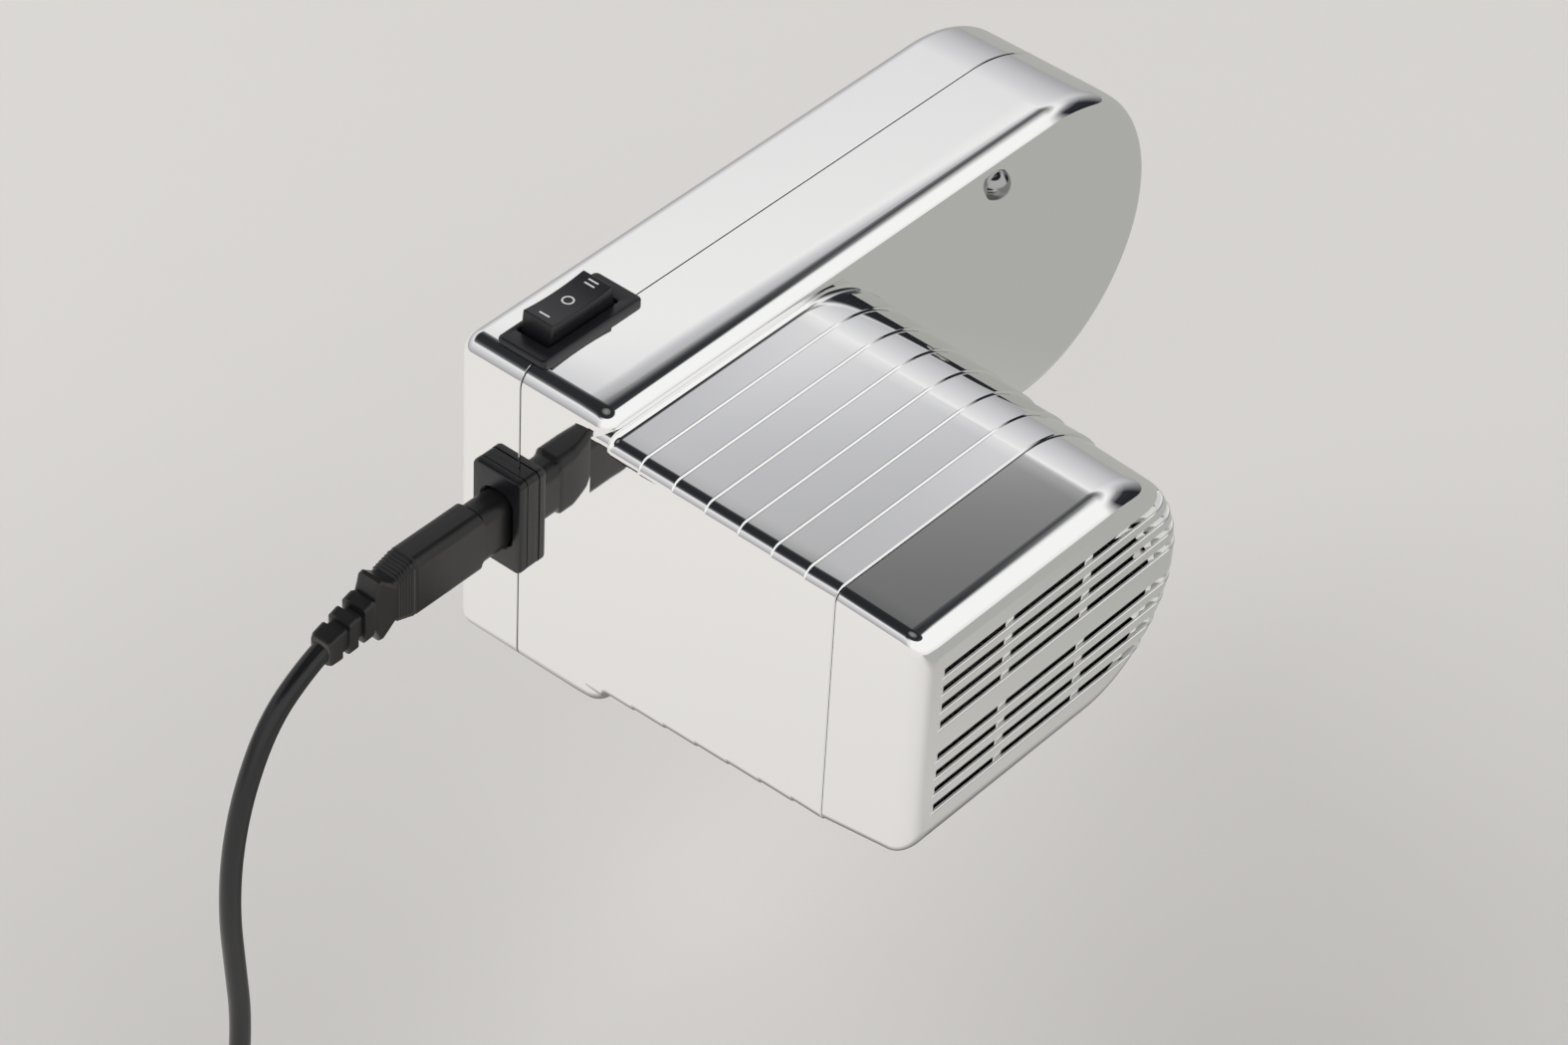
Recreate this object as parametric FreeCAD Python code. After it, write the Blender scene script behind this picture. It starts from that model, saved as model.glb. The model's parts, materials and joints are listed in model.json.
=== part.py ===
import FreeCAD, Part
import math
import os
from FreeCAD import Vector

# Motor drive that hangs on the side of a pasta machine. Sizes are millimetres.
# X runs along the drive shaft from the machine to the slotted cap, Y along the gear case to its round end,
# Z is up. The origin is the shoulder of the drive shaft, on its axis.

# Clearances
RUNNING_GAP = 0.05
SEAT_GAP = 0.02
BODY_GAP = 0.3
PANEL_GAP = 0.15
TOUCH = 0.001

# Gear case
INLET_END_ROOM = 46.75
CASE_HEIGHT = 88.5
CASE_DEPTH = 46.0
COVER_DEPTH = 19.5
CASE_CORNER = 5.2
FACE_ROUND = 4.9
BACK_ROUND = 3.5
WALL = 2.5
SEAM_BREAK = 0.3
SHOULDER_PROUD = 0.5

# Motor barrel and its slotted cap
BARREL_INSET = 5.7
BARREL_WIDTH = 105.4
BARREL_CORNER = 3.4
BARREL_FOOT = 1.6
BARREL_FOOT_STEPS = 3
BARREL_ROOT = 8.0
FIRST_RING = 9.3
RING_PITCH = 9.7
RING_COUNT = 6
RING_RISE = 0.54
RING_SIDE = 0.85
BARREL_LENGTH = 67.1
CAP_LENGTH = 25.3
CAP_END_TOP = 33.6
CAP_END_BOTTOM = -31.2
CAP_END_SIDE = 1.95
CAP_ROUND = 6.5
CAP_LEFT_ROUND = 4.2
CAP_ROUND_STEPS = 5
CAP_WALL = 2.2
CAP_LIP_DEPTH = 5.0
CAP_LIP_WALL = 1.2

# Grille in the cap
SLOT_PITCH = 5.2
SLOT_HEIGHT = 2.4
SLOTS_PER_GROUP = 4
SLOT_DEPTH = 4.2
SLOT_END_INSET = 8.0
UPPER_SLOTS_TOP_LIP = 20.55
LOWER_SLOTS_TOP_LIP = -4.75
GRILLE_RIB_INSETS = (34.9, 63.4)
GRILLE_RIB_WIDTH = 3.0
GRILLE_RIB_DEPTH = 5.0
GRILLE_RIM_INSET = 8.5
GRILLE_RIM_WIDTH = 2.0

# Gear train: a motor pinion, two compound gears and the output gear, in one line
FINE_MODULE = 1.0
COARSE_MODULE = 1.5
MOTOR_PINION_TEETH = 13
GEAR_A_TEETH = 60
GEAR_A_PINION_TEETH = 14
GEAR_B_TEETH = 56
GEAR_B_PINION_TEETH = 14
OUTPUT_TEETH = 42
PRESSURE_ANGLE = 20.0
ADDENDUM = 0.9
DEDENDUM = 1.25
BACKLASH = 0.16
WHEEL_ROOM = 4.2
GEAR_B_FACE = 8.0
GEAR_A_FACE = 8.0
PINION_OVERLAP = 0.7
LAYER_GAP = 1.0
GEAR_HUB_RADIUS = 5.0
GEAR_PIN_RADIUS = 3.0
GEAR_B_PIN_COLLAR = 3.6
PIN_SEAT_DEPTH = 2.0
PIN_BOSS_RADIUS = 6.0
PIN_BOSS_HEIGHT = 6.0

# Output shaft
STUB_RADIUS = 5.0
STUB_LENGTH = 12.0
TONGUE_LENGTH = 8.0
TONGUE_RADIUS = 4.5
TONGUE_THICKNESS = 5.6
STUB_CHAMFER = 0.8
JOURNAL_RADIUS = 7.0
GEAR_SEAT_RADIUS = 8.0
SHAFT_COLLAR_RADIUS = 10.0
BUSH_WALL = 2.5
BUSH_LENGTH = 8.0
BUSH_BOSS_WALL = 3.0
RING_THICKNESS = 1.0
RING_GROOVE_RADIUS = 7.4
RING_RADIUS = 10.0
KEY_WIDTH = 4.0
KEY_HEIGHT = 4.0
KEY_INSET = 2.0
END_FLOAT = 0.3

# Anchor bolt
ANCHOR_Y = -20.65
ANCHOR_Z = 34.85
ANCHOR_HEAD_RADIUS = 3.25
ANCHOR_HEAD_HEIGHT = 2.6
ANCHOR_SHANK_RADIUS = 2.5
ANCHOR_POST_RADIUS = 5.0

# Pin that keeps the drive from turning on the machine
LOCATING_PIN_Y = -24.0
LOCATING_PIN_Z = 18.0
LOCATING_PIN_RADIUS = 3.0
LOCATING_PIN_LENGTH = 12.0
LOCATING_SEAT_RADIUS = 2.5
LOCATING_BOSS_RADIUS = 5.5
LOCATING_BOSS_HEIGHT = 5.0

# Screws that hold the two halves of the case
SCREW_RADIUS = 1.6
SCREW_LENGTH = 30.0
SCREW_HEAD_RADIUS = 3.0
SCREW_HEAD_HEIGHT = 2.0
SCREW_RECESS = 0.4
SCREW_POST_RADIUS = 4.5
END_SCREW_OFFSET = 27.0
SIDE_SCREW_EDGE = 7.25
INLET_SCREW_INSET = 8.25
INLET_SCREW_EDGE = 8.25

# Rocker switch
BEZEL_INSET_X = 8.5
BEZEL_INSET_Y = 4.5
BEZEL_DEPTH = 13.8
BEZEL_LENGTH = 33.0
BEZEL_RISE = 3.6
BEZEL_EDGE = 0.9
SWITCH_BODY_INSET = 1.5
SWITCH_BODY_HEIGHT = 20.0
ROCKER_INSET_X = 2.5
ROCKER_WIDTH = 7.3
ROCKER_LENGTH = 21.9
ROCKER_TOP_LENGTH = 20.4
ROCKER_RISE = 3.0
ROCKER_DIP = 0.7
ROCKER_FOOT = 5.0
ROCKER_FOOT_LENGTH = 13.0
ROCKER_SWING_ROOM = 1.0
ROCKER_WELL = 9.0
PIVOT_RAISE = 0.5
PIVOT_RADIUS = 1.2
PIVOT_REACH = 0.6
BLADE_WIDTH = 4.8
BLADE_THICKNESS = 0.8
BLADE_LENGTH = 9.0
SWITCH_BLADE_PITCH = 7.0
SWITCH_BLADES = 3

# Mains inlet
INLET_X = 17.0
INLET_Z = 1.9
FLANGE_WIDTH = 15.2
FLANGE_HEIGHT = 27.4
FLANGE_CORNER = 1.6
FLANGE_BASE = 1.9
FLANGE_FRAME = 3.9
SOCKET_WIDTH = 9.5
SOCKET_HEIGHT = 16.0
SOCKET_CORNER = 3.6
SOCKET_WALL = 1.5
SOCKET_DEPTH = 19.0
SOCKET_FLOOR = 3.0
INLET_PIN_RADIUS = 1.2
INLET_PIN_PITCH = 8.6
INLET_PIN_REACH = 10.0

# Suppressor capacitor on the inside of the cover
CAPACITOR_INSET = 29.25
CAPACITOR_Z = -30.0
CAPACITOR_LENGTH = 18.0
CAPACITOR_HEIGHT = 15.0
CAPACITOR_DEPTH = 9.0
CAPACITOR_EDGE = 1.0

# Motor
STATOR_SIDE = 60.0
STATOR_CORNER = 9.0
STACK_LENGTH = 30.0
POLE_BORE = 17.5
POLE_HALF_WIDTH = 12.0
WINDOW_INNER = 8.0
WINDOW_OUTER = 24.2
WINDOW_HEIGHT = 7.2
COIL_THICKNESS = 7.4
COIL_OVERHANG = 5.0
COIL_ROUND = 3.0
AIR_GAP = 0.5
ARMATURE_SLOTS = 12
ARMATURE_SLOT_WIDTH = 2.6
ARMATURE_SLOT_DEPTH = 7.0
WINDING_RADIUS = 15.5
WINDING_LENGTH = 4.0
WINDING_ROUND = 1.8
COMMUTATOR_RADIUS = 9.0
COMMUTATOR_LENGTH = 11.5
COMMUTATOR_CUT_WIDTH = 0.6
COMMUTATOR_CUT_DEPTH = 0.8
COMMUTATOR_GAP = 1.0
MOTOR_SHAFT_RADIUS = 4.0
SHAFT_PINION_END = 2.0
BRUSH_LENGTH = 12.0
BRUSH_WIDTH = 4.5
BRUSH_DEPTH = 6.0
BRUSH_HOLDER_WALL = 1.5
BRUSH_HOLDER_LENGTH = 13.0
BRUSH_STANDOFF = 2.0
BRACKET_THICKNESS = 3.5
BRACKET_PILOT_RADIUS = 13.7
BRACKET_PILOT_DEPTH = 2.0
FRONT_HUB_RADIUS = 9.0
FRONT_HUB_LENGTH = 2.0
REAR_HUB_RADIUS = 8.5
REAR_HUB_LENGTH = 2.0
MOTOR_BUSH_WALL = 3.0
STATOR_STANDOFF = 6.0
COLUMN_RADIUS = 4.0
MOTOR_SCREW_RADIUS = 2.0
MOTOR_SCREW_OFFSET = 24.0
MOTOR_SCREW_HEAD = 3.6
MOTOR_SCREW_HEAD_HEIGHT = 2.4
BRACKET_WINDOW_WIDTH = 11.0
BRACKET_WINDOW_HEIGHT = 30.0
BRACKET_WINDOW_INSET = 5.0
WIRE_HOLE_WIDTH = 8.0
WIRE_HOLE_HEIGHT = 24.0
FAN_RADIUS = 25.0
FAN_BLADES = 9
FAN_BLADE_THICKNESS = 1.2
FAN_DISC = 1.4
FAN_BLADE_DEPTH = 7.0
FAN_HUB_RADIUS = 7.0
FAN_GAP = 0.6

# Connector on the lead
CONNECTOR_WIDTH = 8.8
CONNECTOR_HEIGHT = 17.0
CONNECTOR_CORNER = 2.4
CONNECTOR_FRONT = 7.2
CONNECTOR_BODY = 16.8
CONNECTOR_GRIP = 8.2
NOSE_TIP_GAP = 1.0
NECK_HEIGHT = 11.0
WING_LENGTH = 9.0
WING_SPAN = 18.0
WING_THICKNESS = 3.4
GRIP_HEIGHT = 15.0
RELIEF_LENGTH = 15.0
RELIEF_WIDTH = 6.6
RELIEF_HEIGHT = 7.6
RELIEF_DROP = 3.4
RELIEF_NOTCHES = 2
RELIEF_NOTCH = 1.6
RELIEF_NOTCH_DEPTH = 1.6
RELIEF_NOTCH_PITCH = 4.6

# Lead, coil and mains plug
CORD_RADIUS = 2.6
CORD_X = 17.1
CORD_POINTS = (
    (-221.6, -1.5), (-228.0, -4.1), (-239.0, -12.2), (-247.4, -28.0), (-251.8, -45.0), (-253.1, -62.6),
    (-251.9, -80.0), (-250.6, -98.0), (-252.2, -117.0), (-258.5, -132.5), (-269.5, -144.5), (-284.5, -150.6),
    (-301.0, -150.6),
)
CORD_ARC_SHARE = 0.45
COIL_PITCH = 5.8
COIL_RADIUS = 37.5
COIL_TURNS_IN = 2.75
COIL_TURNS_OUT = 3.0
COIL_CLIMB_TURNS = 0.5
COIL_LEAD = 5.2
COIL_LEAD_OUT = 22.0
QUARTERS = 4
GAP_STEPS = 36
TIE_ANGLE = 60.0
TIE_WIDTH = 6.0
TIE_THICKNESS = 1.0
TIE_ROUND = 3.0
PLUG_LENGTH = 36.0
PLUG_WIDTH = 33.0
PLUG_HEIGHT = 13.6
PLUG_REAR_WIDTH = 12.0
PLUG_REAR_LENGTH = 10.0
PLUG_SHOULDER_WIDTH = 17.0
PLUG_SHOULDER = 21.0
PLUG_ROUND = 3.0
PLUG_PIN_RADIUS = 2.0
PLUG_PIN_LENGTH = 19.0
PLUG_PIN_PITCH = 18.6
PLUG_PIN_ROOT = 6.0

# Places that follow from the sizes
BACK_X = SHOULDER_PROUD
SEAM_X = BACK_X + COVER_DEPTH
FACE_X = BACK_X + CASE_DEPTH
INNER_BACK_X = BACK_X + WALL
BULKHEAD_X = FACE_X - WALL
END_RADIUS = CASE_HEIGHT / 2
CAP_X = FACE_X + BARREL_LENGTH
END_X = CAP_X + CAP_LENGTH
GEAR_B_Y = -COARSE_MODULE * (OUTPUT_TEETH + GEAR_B_PINION_TEETH) / 2
GEAR_A_Y = GEAR_B_Y - FINE_MODULE * (GEAR_B_TEETH + GEAR_A_PINION_TEETH) / 2
MOTOR_Y = GEAR_A_Y - FINE_MODULE * (GEAR_A_TEETH + MOTOR_PINION_TEETH) / 2
INLET_Y = MOTOR_Y - INLET_END_ROOM
BARREL_TOP = END_RADIUS - BARREL_INSET
BARREL_RIGHT = INLET_Y + BARREL_WIDTH
CAVITY_TOP = BARREL_TOP - RING_COUNT * RING_RISE - WALL
CAVITY_RIGHT = BARREL_RIGHT - RING_COUNT * RING_SIDE - WALL
CAVITY_LEFT = INLET_Y + WALL
BUSH_END_X = BACK_X + BUSH_LENGTH
RING_X = BUSH_END_X + END_FLOAT
OUTPUT_X = RING_X + RING_THICKNESS
GEAR_A_END_X = BULKHEAD_X - WHEEL_ROOM
GEAR_A_X = GEAR_A_END_X - GEAR_A_FACE
GEAR_B_END_X = GEAR_A_X - LAYER_GAP
GEAR_B_X = GEAR_B_END_X - GEAR_B_FACE
OUTPUT_END_X = GEAR_B_X - LAYER_GAP
PIN_BOSS_X = INNER_BACK_X + PIN_BOSS_HEIGHT
LOCATING_BOSS_X = INNER_BACK_X + LOCATING_BOSS_HEIGHT
OUTER_BUSH_X = BULKHEAD_X - BUSH_LENGTH
COLLAR_END_X = OUTER_BUSH_X - END_FLOAT
STATOR_X = FACE_X + BRACKET_THICKNESS + STATOR_STANDOFF
STATOR_END_X = STATOR_X + STACK_LENGTH
WINDING_END_X = STATOR_END_X + WINDING_LENGTH
COMMUTATOR_X = WINDING_END_X + COMMUTATOR_GAP
COMMUTATOR_END_X = COMMUTATOR_X + COMMUTATOR_LENGTH
REAR_BRACKET_X = COMMUTATOR_END_X + COMMUTATOR_GAP
REAR_BRACKET_END_X = REAR_BRACKET_X + BRACKET_THICKNESS
REAR_HUB_END_X = REAR_BRACKET_END_X + REAR_HUB_LENGTH
FAN_X = REAR_HUB_END_X + FAN_GAP
FAN_END_X = FAN_X + FAN_DISC + FAN_BLADE_DEPTH
MOTOR_SCREWS = (
    (MOTOR_Y - MOTOR_SCREW_OFFSET, MOTOR_SCREW_OFFSET), (MOTOR_Y + MOTOR_SCREW_OFFSET, -MOTOR_SCREW_OFFSET),
)
SIDE_SCREW_Z = END_RADIUS - SIDE_SCREW_EDGE
SCREW_PLACES = (
    (END_SCREW_OFFSET, END_SCREW_OFFSET), (END_SCREW_OFFSET, -END_SCREW_OFFSET),
    (GEAR_B_Y, SIDE_SCREW_Z), (GEAR_B_Y, -SIDE_SCREW_Z), (MOTOR_Y, SIDE_SCREW_Z), (MOTOR_Y, -SIDE_SCREW_Z),
    (INLET_Y + INLET_SCREW_INSET, INLET_SCREW_EDGE - END_RADIUS),
)
CAPACITOR_Y = INLET_Y + CAPACITOR_INSET
BEZEL_X = BACK_X + BEZEL_INSET_X
BEZEL_Y = INLET_Y + BEZEL_INSET_Y
SWITCH_Y = BEZEL_Y + BEZEL_LENGTH / 2
PIVOT_Z = END_RADIUS + PIVOT_RAISE
ROCKER_X = BEZEL_X + ROCKER_INSET_X
BEZEL_TOP_Z = END_RADIUS + BEZEL_RISE
FLANGE_Y = INLET_Y - FLANGE_BASE
FRAME_Y = FLANGE_Y - FLANGE_FRAME
SOCKET_FLOOR_Y = INLET_Y + SOCKET_DEPTH - SOCKET_FLOOR
CONNECTOR_Y = FRAME_Y - CONNECTOR_FRONT
GRIP_Y = CONNECTOR_Y - CONNECTOR_BODY
WING_Y = GRIP_Y - CONNECTOR_GRIP
RELIEF_Y = WING_Y - WING_LENGTH
RELIEF_END_Y = RELIEF_Y - RELIEF_LENGTH


def box(x0, x1, y0, y1, z0, z1):
    """A box between two corners."""
    return Part.makeBox(x1 - x0, y1 - y0, z1 - z0, Vector(x0, y0, z0))


def rod(radius, x0, x1, y=0.0, z=0.0):
    """A round rod along X."""
    return Part.makeCylinder(radius, x1 - x0, Vector(x0, y, z), Vector(1, 0, 0))


def tube(outer, inner, x0, x1, y=0.0, z=0.0):
    """A round tube along X."""
    return rod(outer, x0, x1, y, z).cut(rod(inner, x0, x1, y, z))


def loop(points):
    """A closed wire of straight edges."""
    return Part.makePolygon(list(points) + [points[0]])


def d_section(x, left, right, top, bottom, corner):
    """The outline of case and barrel across X: two rounded corners on the left, a half circle on the right."""
    radius = (top - bottom) / 2
    centre_y = right - radius
    centre_z = (top + bottom) / 2
    slant = corner * (1 - math.sqrt(0.5))
    lean = radius * math.sqrt(0.5)

    def at(y, z):
        return Vector(x, y, z)

    def arc(start, middle, end):
        return Part.Arc(at(*start), at(*middle), at(*end)).toShape()

    def line(start, end):
        return Part.LineSegment(at(*start), at(*end)).toShape()

    upper = (centre_y, top)
    lower = (centre_y, bottom)
    tip = (right, centre_z)
    return Part.Wire([
        line((left, bottom + corner), (left, top - corner)),
        arc((left, top - corner), (left + slant, top - slant), (left + corner, top)),
        line((left + corner, top), upper),
        arc(upper, (centre_y + lean, centre_z + lean), tip),
        arc(tip, (centre_y + lean, centre_z - lean), lower),
        line(lower, (left + corner, bottom)),
        arc((left + corner, bottom), (left + slant, bottom + slant), (left, bottom + corner)),
    ])


def case_section(x, inset):
    """The outline of the gear case, drawn in by an inset."""
    half = END_RADIUS - inset
    return d_section(x, INLET_Y + inset, half, half, -half, CASE_CORNER - inset)


def barrel_section(x, step, foot=0.0):
    """The outline of the motor barrel after a number of steps, widened at its foot."""
    top = BARREL_TOP - step * RING_RISE + foot
    return d_section(x, INLET_Y, BARREL_RIGHT - step * RING_SIDE + foot, top, -top, BARREL_CORNER)


def cavity_section(x, inset=0.0):
    """The outline of the barrel's inside, drawn in by an inset."""
    top = CAVITY_TOP - inset
    return d_section(x, CAVITY_LEFT + inset, CAVITY_RIGHT - inset, top, -top, BARREL_CORNER - inset)


def prism(wire, length):
    """A wire across X, filled and drawn out along X."""
    return Part.Face(wire).extrude(Vector(length, 0, 0))


def edges_at(shape, x):
    """The edges that lie in one plane across X."""
    return [edge for edge in shape.Edges if all(abs(v.X - x) < TOUCH for v in edge.Vertexes)]


def rounded_block(x0, x1, y0, y1, z0, z1, radius, axis):
    """A box whose four edges along one axis are rounded."""
    block = box(x0, x1, y0, y1, z0, z1)
    edges = [e for e in block.Edges if abs(abs(e.tangentAt(e.FirstParameter).dot(axis)) - 1) < TOUCH]
    return block.makeFillet(radius, edges)


def gear(teeth, module, x0, x1, y, turn, bore):
    """A spur gear about an axis along X, with its first tooth at an angle from +Y."""
    pitch_radius = module * teeth / 2
    pressure = math.radians(PRESSURE_ANGLE)
    base_radius = pitch_radius * math.cos(pressure)
    tip_radius = pitch_radius + ADDENDUM * module
    root_radius = pitch_radius - DEDENDUM * module
    half_tooth = math.pi / (2 * teeth) - BACKLASH * module / (2 * pitch_radius)

    def half_angle(radius):
        lean = math.acos(min(1.0, base_radius / radius))
        return half_tooth + math.tan(pressure) - pressure - math.tan(lean) + lean

    flank = [
        (root_radius, half_angle(base_radius)), (pitch_radius, half_tooth), (tip_radius, half_angle(tip_radius)),
    ]
    profile = [(r, -a) for r, a in flank] + [(r, a) for r, a in reversed(flank)]
    points = []
    for tooth in range(teeth):
        middle = turn + 2 * math.pi * tooth / teeth
        for radius, angle in profile:
            points.append(Vector(x0, y + radius * math.cos(middle + angle), radius * math.sin(middle + angle)))
    return prism(loop(points), x1 - x0).cut(rod(bore, x0, x1, y))


def meshing_turn(teeth):
    """The turn of a driven gear that puts a gap where its driver, on the -Y side, has a tooth."""
    return math.pi + math.pi / teeth


def pin_bosses():
    """The bosses on the inside of the cover that hold the gear pins."""
    bosses = rod(PIN_BOSS_RADIUS, INNER_BACK_X, PIN_BOSS_X, GEAR_A_Y)
    return bosses.fuse(rod(PIN_BOSS_RADIUS, INNER_BACK_X, PIN_BOSS_X, GEAR_B_Y))


def switch_well(gap):
    """The room in the case for the body of the switch."""
    return box(BEZEL_X + SWITCH_BODY_INSET - gap, BEZEL_X + BEZEL_DEPTH - SWITCH_BODY_INSET + gap,
               BEZEL_Y + SWITCH_BODY_INSET - gap, BEZEL_Y + BEZEL_LENGTH - SWITCH_BODY_INSET + gap,
               END_RADIUS - SWITCH_BODY_HEIGHT - gap, END_RADIUS)


def socket_block(y0, y1, gap):
    """The body of the inlet socket, or the room for it with a gap."""
    half_width = SOCKET_WIDTH / 2 + SOCKET_WALL + gap
    half_height = SOCKET_HEIGHT / 2 + SOCKET_WALL + gap
    return box(INLET_X - half_width, INLET_X + half_width, y0, y1, INLET_Z - half_height, INLET_Z + half_height)


def socket_hole(y0, y1, inset=0.0):
    """The rounded hole of the inlet, drawn in by an inset."""
    half_width = SOCKET_WIDTH / 2 - inset
    half_height = SOCKET_HEIGHT / 2 - inset
    return rounded_block(INLET_X - half_width, INLET_X + half_width, y0, y1, INLET_Z - half_height,
                         INLET_Z + half_height, SOCKET_CORNER - inset, Vector(0, 1, 0))


def make_gear_cover():
    """The machine-side half of the case: a shell with bosses, posts and openings for switch and inlet."""
    shell = prism(case_section(BACK_X, 0), COVER_DEPTH)
    shell = shell.makeFillet(BACK_ROUND, edges_at(shell, BACK_X))
    shell = shell.makeChamfer(SEAM_BREAK, edges_at(shell, SEAM_X))
    shell = shell.cut(prism(case_section(INNER_BACK_X, WALL), COVER_DEPTH))
    shell = shell.fuse(pin_bosses())
    shell = shell.fuse(rod(JOURNAL_RADIUS + BUSH_WALL + BUSH_BOSS_WALL, INNER_BACK_X, BUSH_END_X))
    shell = shell.fuse(rod(ANCHOR_POST_RADIUS, INNER_BACK_X, SEAM_X, ANCHOR_Y, ANCHOR_Z))
    shell = shell.fuse(rod(LOCATING_BOSS_RADIUS, INNER_BACK_X, LOCATING_BOSS_X, LOCATING_PIN_Y, LOCATING_PIN_Z))
    head_x = BACK_X + SCREW_RECESS + SCREW_HEAD_HEIGHT
    for y, z in SCREW_PLACES:
        shell = shell.fuse(rod(SCREW_POST_RADIUS, INNER_BACK_X, SEAM_X, y, z))
        shell = shell.cut(rod(SCREW_RADIUS + SEAT_GAP, BACK_X, SEAM_X, y, z))
        shell = shell.cut(rod(SCREW_HEAD_RADIUS + PANEL_GAP, BACK_X, head_x, y, z))
    shell = shell.cut(rod(JOURNAL_RADIUS + BUSH_WALL + SEAT_GAP, BACK_X, BUSH_END_X))
    shell = shell.cut(rod(ANCHOR_SHANK_RADIUS + SEAT_GAP, INNER_BACK_X, SEAM_X, ANCHOR_Y, ANCHOR_Z))
    seat = rod(LOCATING_SEAT_RADIUS + SEAT_GAP, BACK_X, LOCATING_BOSS_X, LOCATING_PIN_Y, LOCATING_PIN_Z)
    shell = shell.cut(seat)
    for y in (GEAR_A_Y, GEAR_B_Y):
        shell = shell.cut(rod(GEAR_PIN_RADIUS + SEAT_GAP, INNER_BACK_X, PIN_BOSS_X, y))
    shell = shell.cut(switch_well(PANEL_GAP))
    return shell.cut(socket_block(INLET_Y, INLET_Y + WALL, PANEL_GAP)).removeSplitter()


def barrel_shell():
    """The stepped outside of the barrel, from inside the case to the cap."""
    sections = [barrel_section(FACE_X - BARREL_ROOT, 0, BARREL_FOOT), barrel_section(FACE_X, 0, BARREL_FOOT)]
    for number in range(1, BARREL_FOOT_STEPS + 1):
        lean = number * math.pi / 2 / BARREL_FOOT_STEPS
        foot_x = FACE_X + BARREL_FOOT * (1 - math.cos(lean))
        sections.append(barrel_section(foot_x, 0, BARREL_FOOT * (1 - math.sin(lean))))
    for ring in range(RING_COUNT):
        ring_x = FACE_X + FIRST_RING + ring * RING_PITCH
        sections.append(barrel_section(ring_x, ring))
        sections.append(barrel_section(ring_x + RING_RISE, ring + 1))
    sections.append(barrel_section(CAP_X - SEAM_BREAK, RING_COUNT))
    sections.append(barrel_section(CAP_X, RING_COUNT, -SEAM_BREAK))
    return Part.makeLoft(sections, True, True)


def make_main_housing():
    """The outer half of the case in one moulding with the motor barrel, with a bulkhead between the two."""
    case = prism(case_section(SEAM_X, 0), FACE_X - SEAM_X)
    case = case.makeFillet(FACE_ROUND, edges_at(case, FACE_X))
    case = case.makeChamfer(SEAM_BREAK, edges_at(case, SEAM_X))
    shell = case.fuse(barrel_shell())
    shell = shell.cut(prism(case_section(SEAM_X, WALL), BULKHEAD_X - SEAM_X))
    shell = shell.cut(prism(cavity_section(FACE_X), BARREL_LENGTH))
    boss_radius = JOURNAL_RADIUS + BUSH_WALL + BUSH_BOSS_WALL
    shell = shell.fuse(rod(boss_radius, OUTER_BUSH_X, BULKHEAD_X))
    shell = shell.cut(rod(JOURNAL_RADIUS + BUSH_WALL + SEAT_GAP, OUTER_BUSH_X, BULKHEAD_X))
    shell = shell.fuse(rod(ANCHOR_POST_RADIUS, SEAM_X, BULKHEAD_X, ANCHOR_Y, ANCHOR_Z))
    shell = shell.cut(rod(ANCHOR_SHANK_RADIUS + SEAT_GAP, SEAM_X, FACE_X, ANCHOR_Y, ANCHOR_Z))
    screw_end = BACK_X + SCREW_RECESS + SCREW_HEAD_HEIGHT + SCREW_LENGTH
    for y, z in SCREW_PLACES:
        shell = shell.fuse(rod(SCREW_POST_RADIUS, SEAM_X, BULKHEAD_X, y, z))
        shell = shell.cut(rod(SCREW_RADIUS + SEAT_GAP, SEAM_X, screw_end + BODY_GAP, y, z))
    shell = shell.cut(rod(GEAR_PIN_RADIUS + SEAT_GAP, BULKHEAD_X, BULKHEAD_X + PIN_SEAT_DEPTH, GEAR_A_Y))
    shell = shell.cut(rod(GEAR_B_PIN_COLLAR + SEAT_GAP, BULKHEAD_X, BULKHEAD_X + PIN_SEAT_DEPTH, GEAR_B_Y))
    shell = shell.cut(rod(BRACKET_PILOT_RADIUS + PANEL_GAP, BULKHEAD_X, FACE_X, MOTOR_Y))
    for y, z in MOTOR_SCREWS:
        shell = shell.cut(rod(MOTOR_SCREW_RADIUS + SEAT_GAP, BULKHEAD_X, FACE_X, y, z))
    shell = shell.cut(box(BULKHEAD_X, FACE_X, CAVITY_LEFT, CAVITY_LEFT + WIRE_HOLE_WIDTH,
                          -WIRE_HOLE_HEIGHT / 2, WIRE_HOLE_HEIGHT / 2))
    shell = shell.cut(switch_well(PANEL_GAP))
    return shell.cut(socket_block(INLET_Y, INLET_Y + WALL, PANEL_GAP)).removeSplitter()


def cap_sections(wall):
    """The sections of the cap from its joint to its end face, drawn in by a wall thickness."""
    joint = CAP_X if wall else CAP_X + SEAM_BREAK
    step = RING_COUNT + 1
    start_top = BARREL_TOP - step * RING_RISE
    start_right = BARREL_RIGHT - step * RING_SIDE
    end_right = start_right - CAP_END_SIDE
    bend_x = END_X - CAP_ROUND

    def section(x, inset, left_inset):
        share = (x - CAP_X) / CAP_LENGTH
        top = start_top + share * (CAP_END_TOP - start_top) - inset - wall
        bottom = -start_top + share * (CAP_END_BOTTOM + start_top) + inset + wall
        right = start_right + share * (end_right - start_right) - inset - wall
        left = INLET_Y + left_inset + wall
        return d_section(min(x, END_X - wall), left, right, top, bottom, BARREL_CORNER - wall / 2)

    sections = [section(joint, 0, 0)]
    if not wall:
        sections.insert(0, section(CAP_X, SEAM_BREAK, SEAM_BREAK))
    for number in range(CAP_ROUND_STEPS + 1):
        lean = number * math.pi / 2 / CAP_ROUND_STEPS
        drawn = 1 - math.cos(lean)
        x = bend_x + (CAP_ROUND - wall) * math.sin(lean)
        sections.append(section(x, CAP_ROUND * drawn, CAP_LEFT_ROUND * drawn))
    return sections


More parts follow.
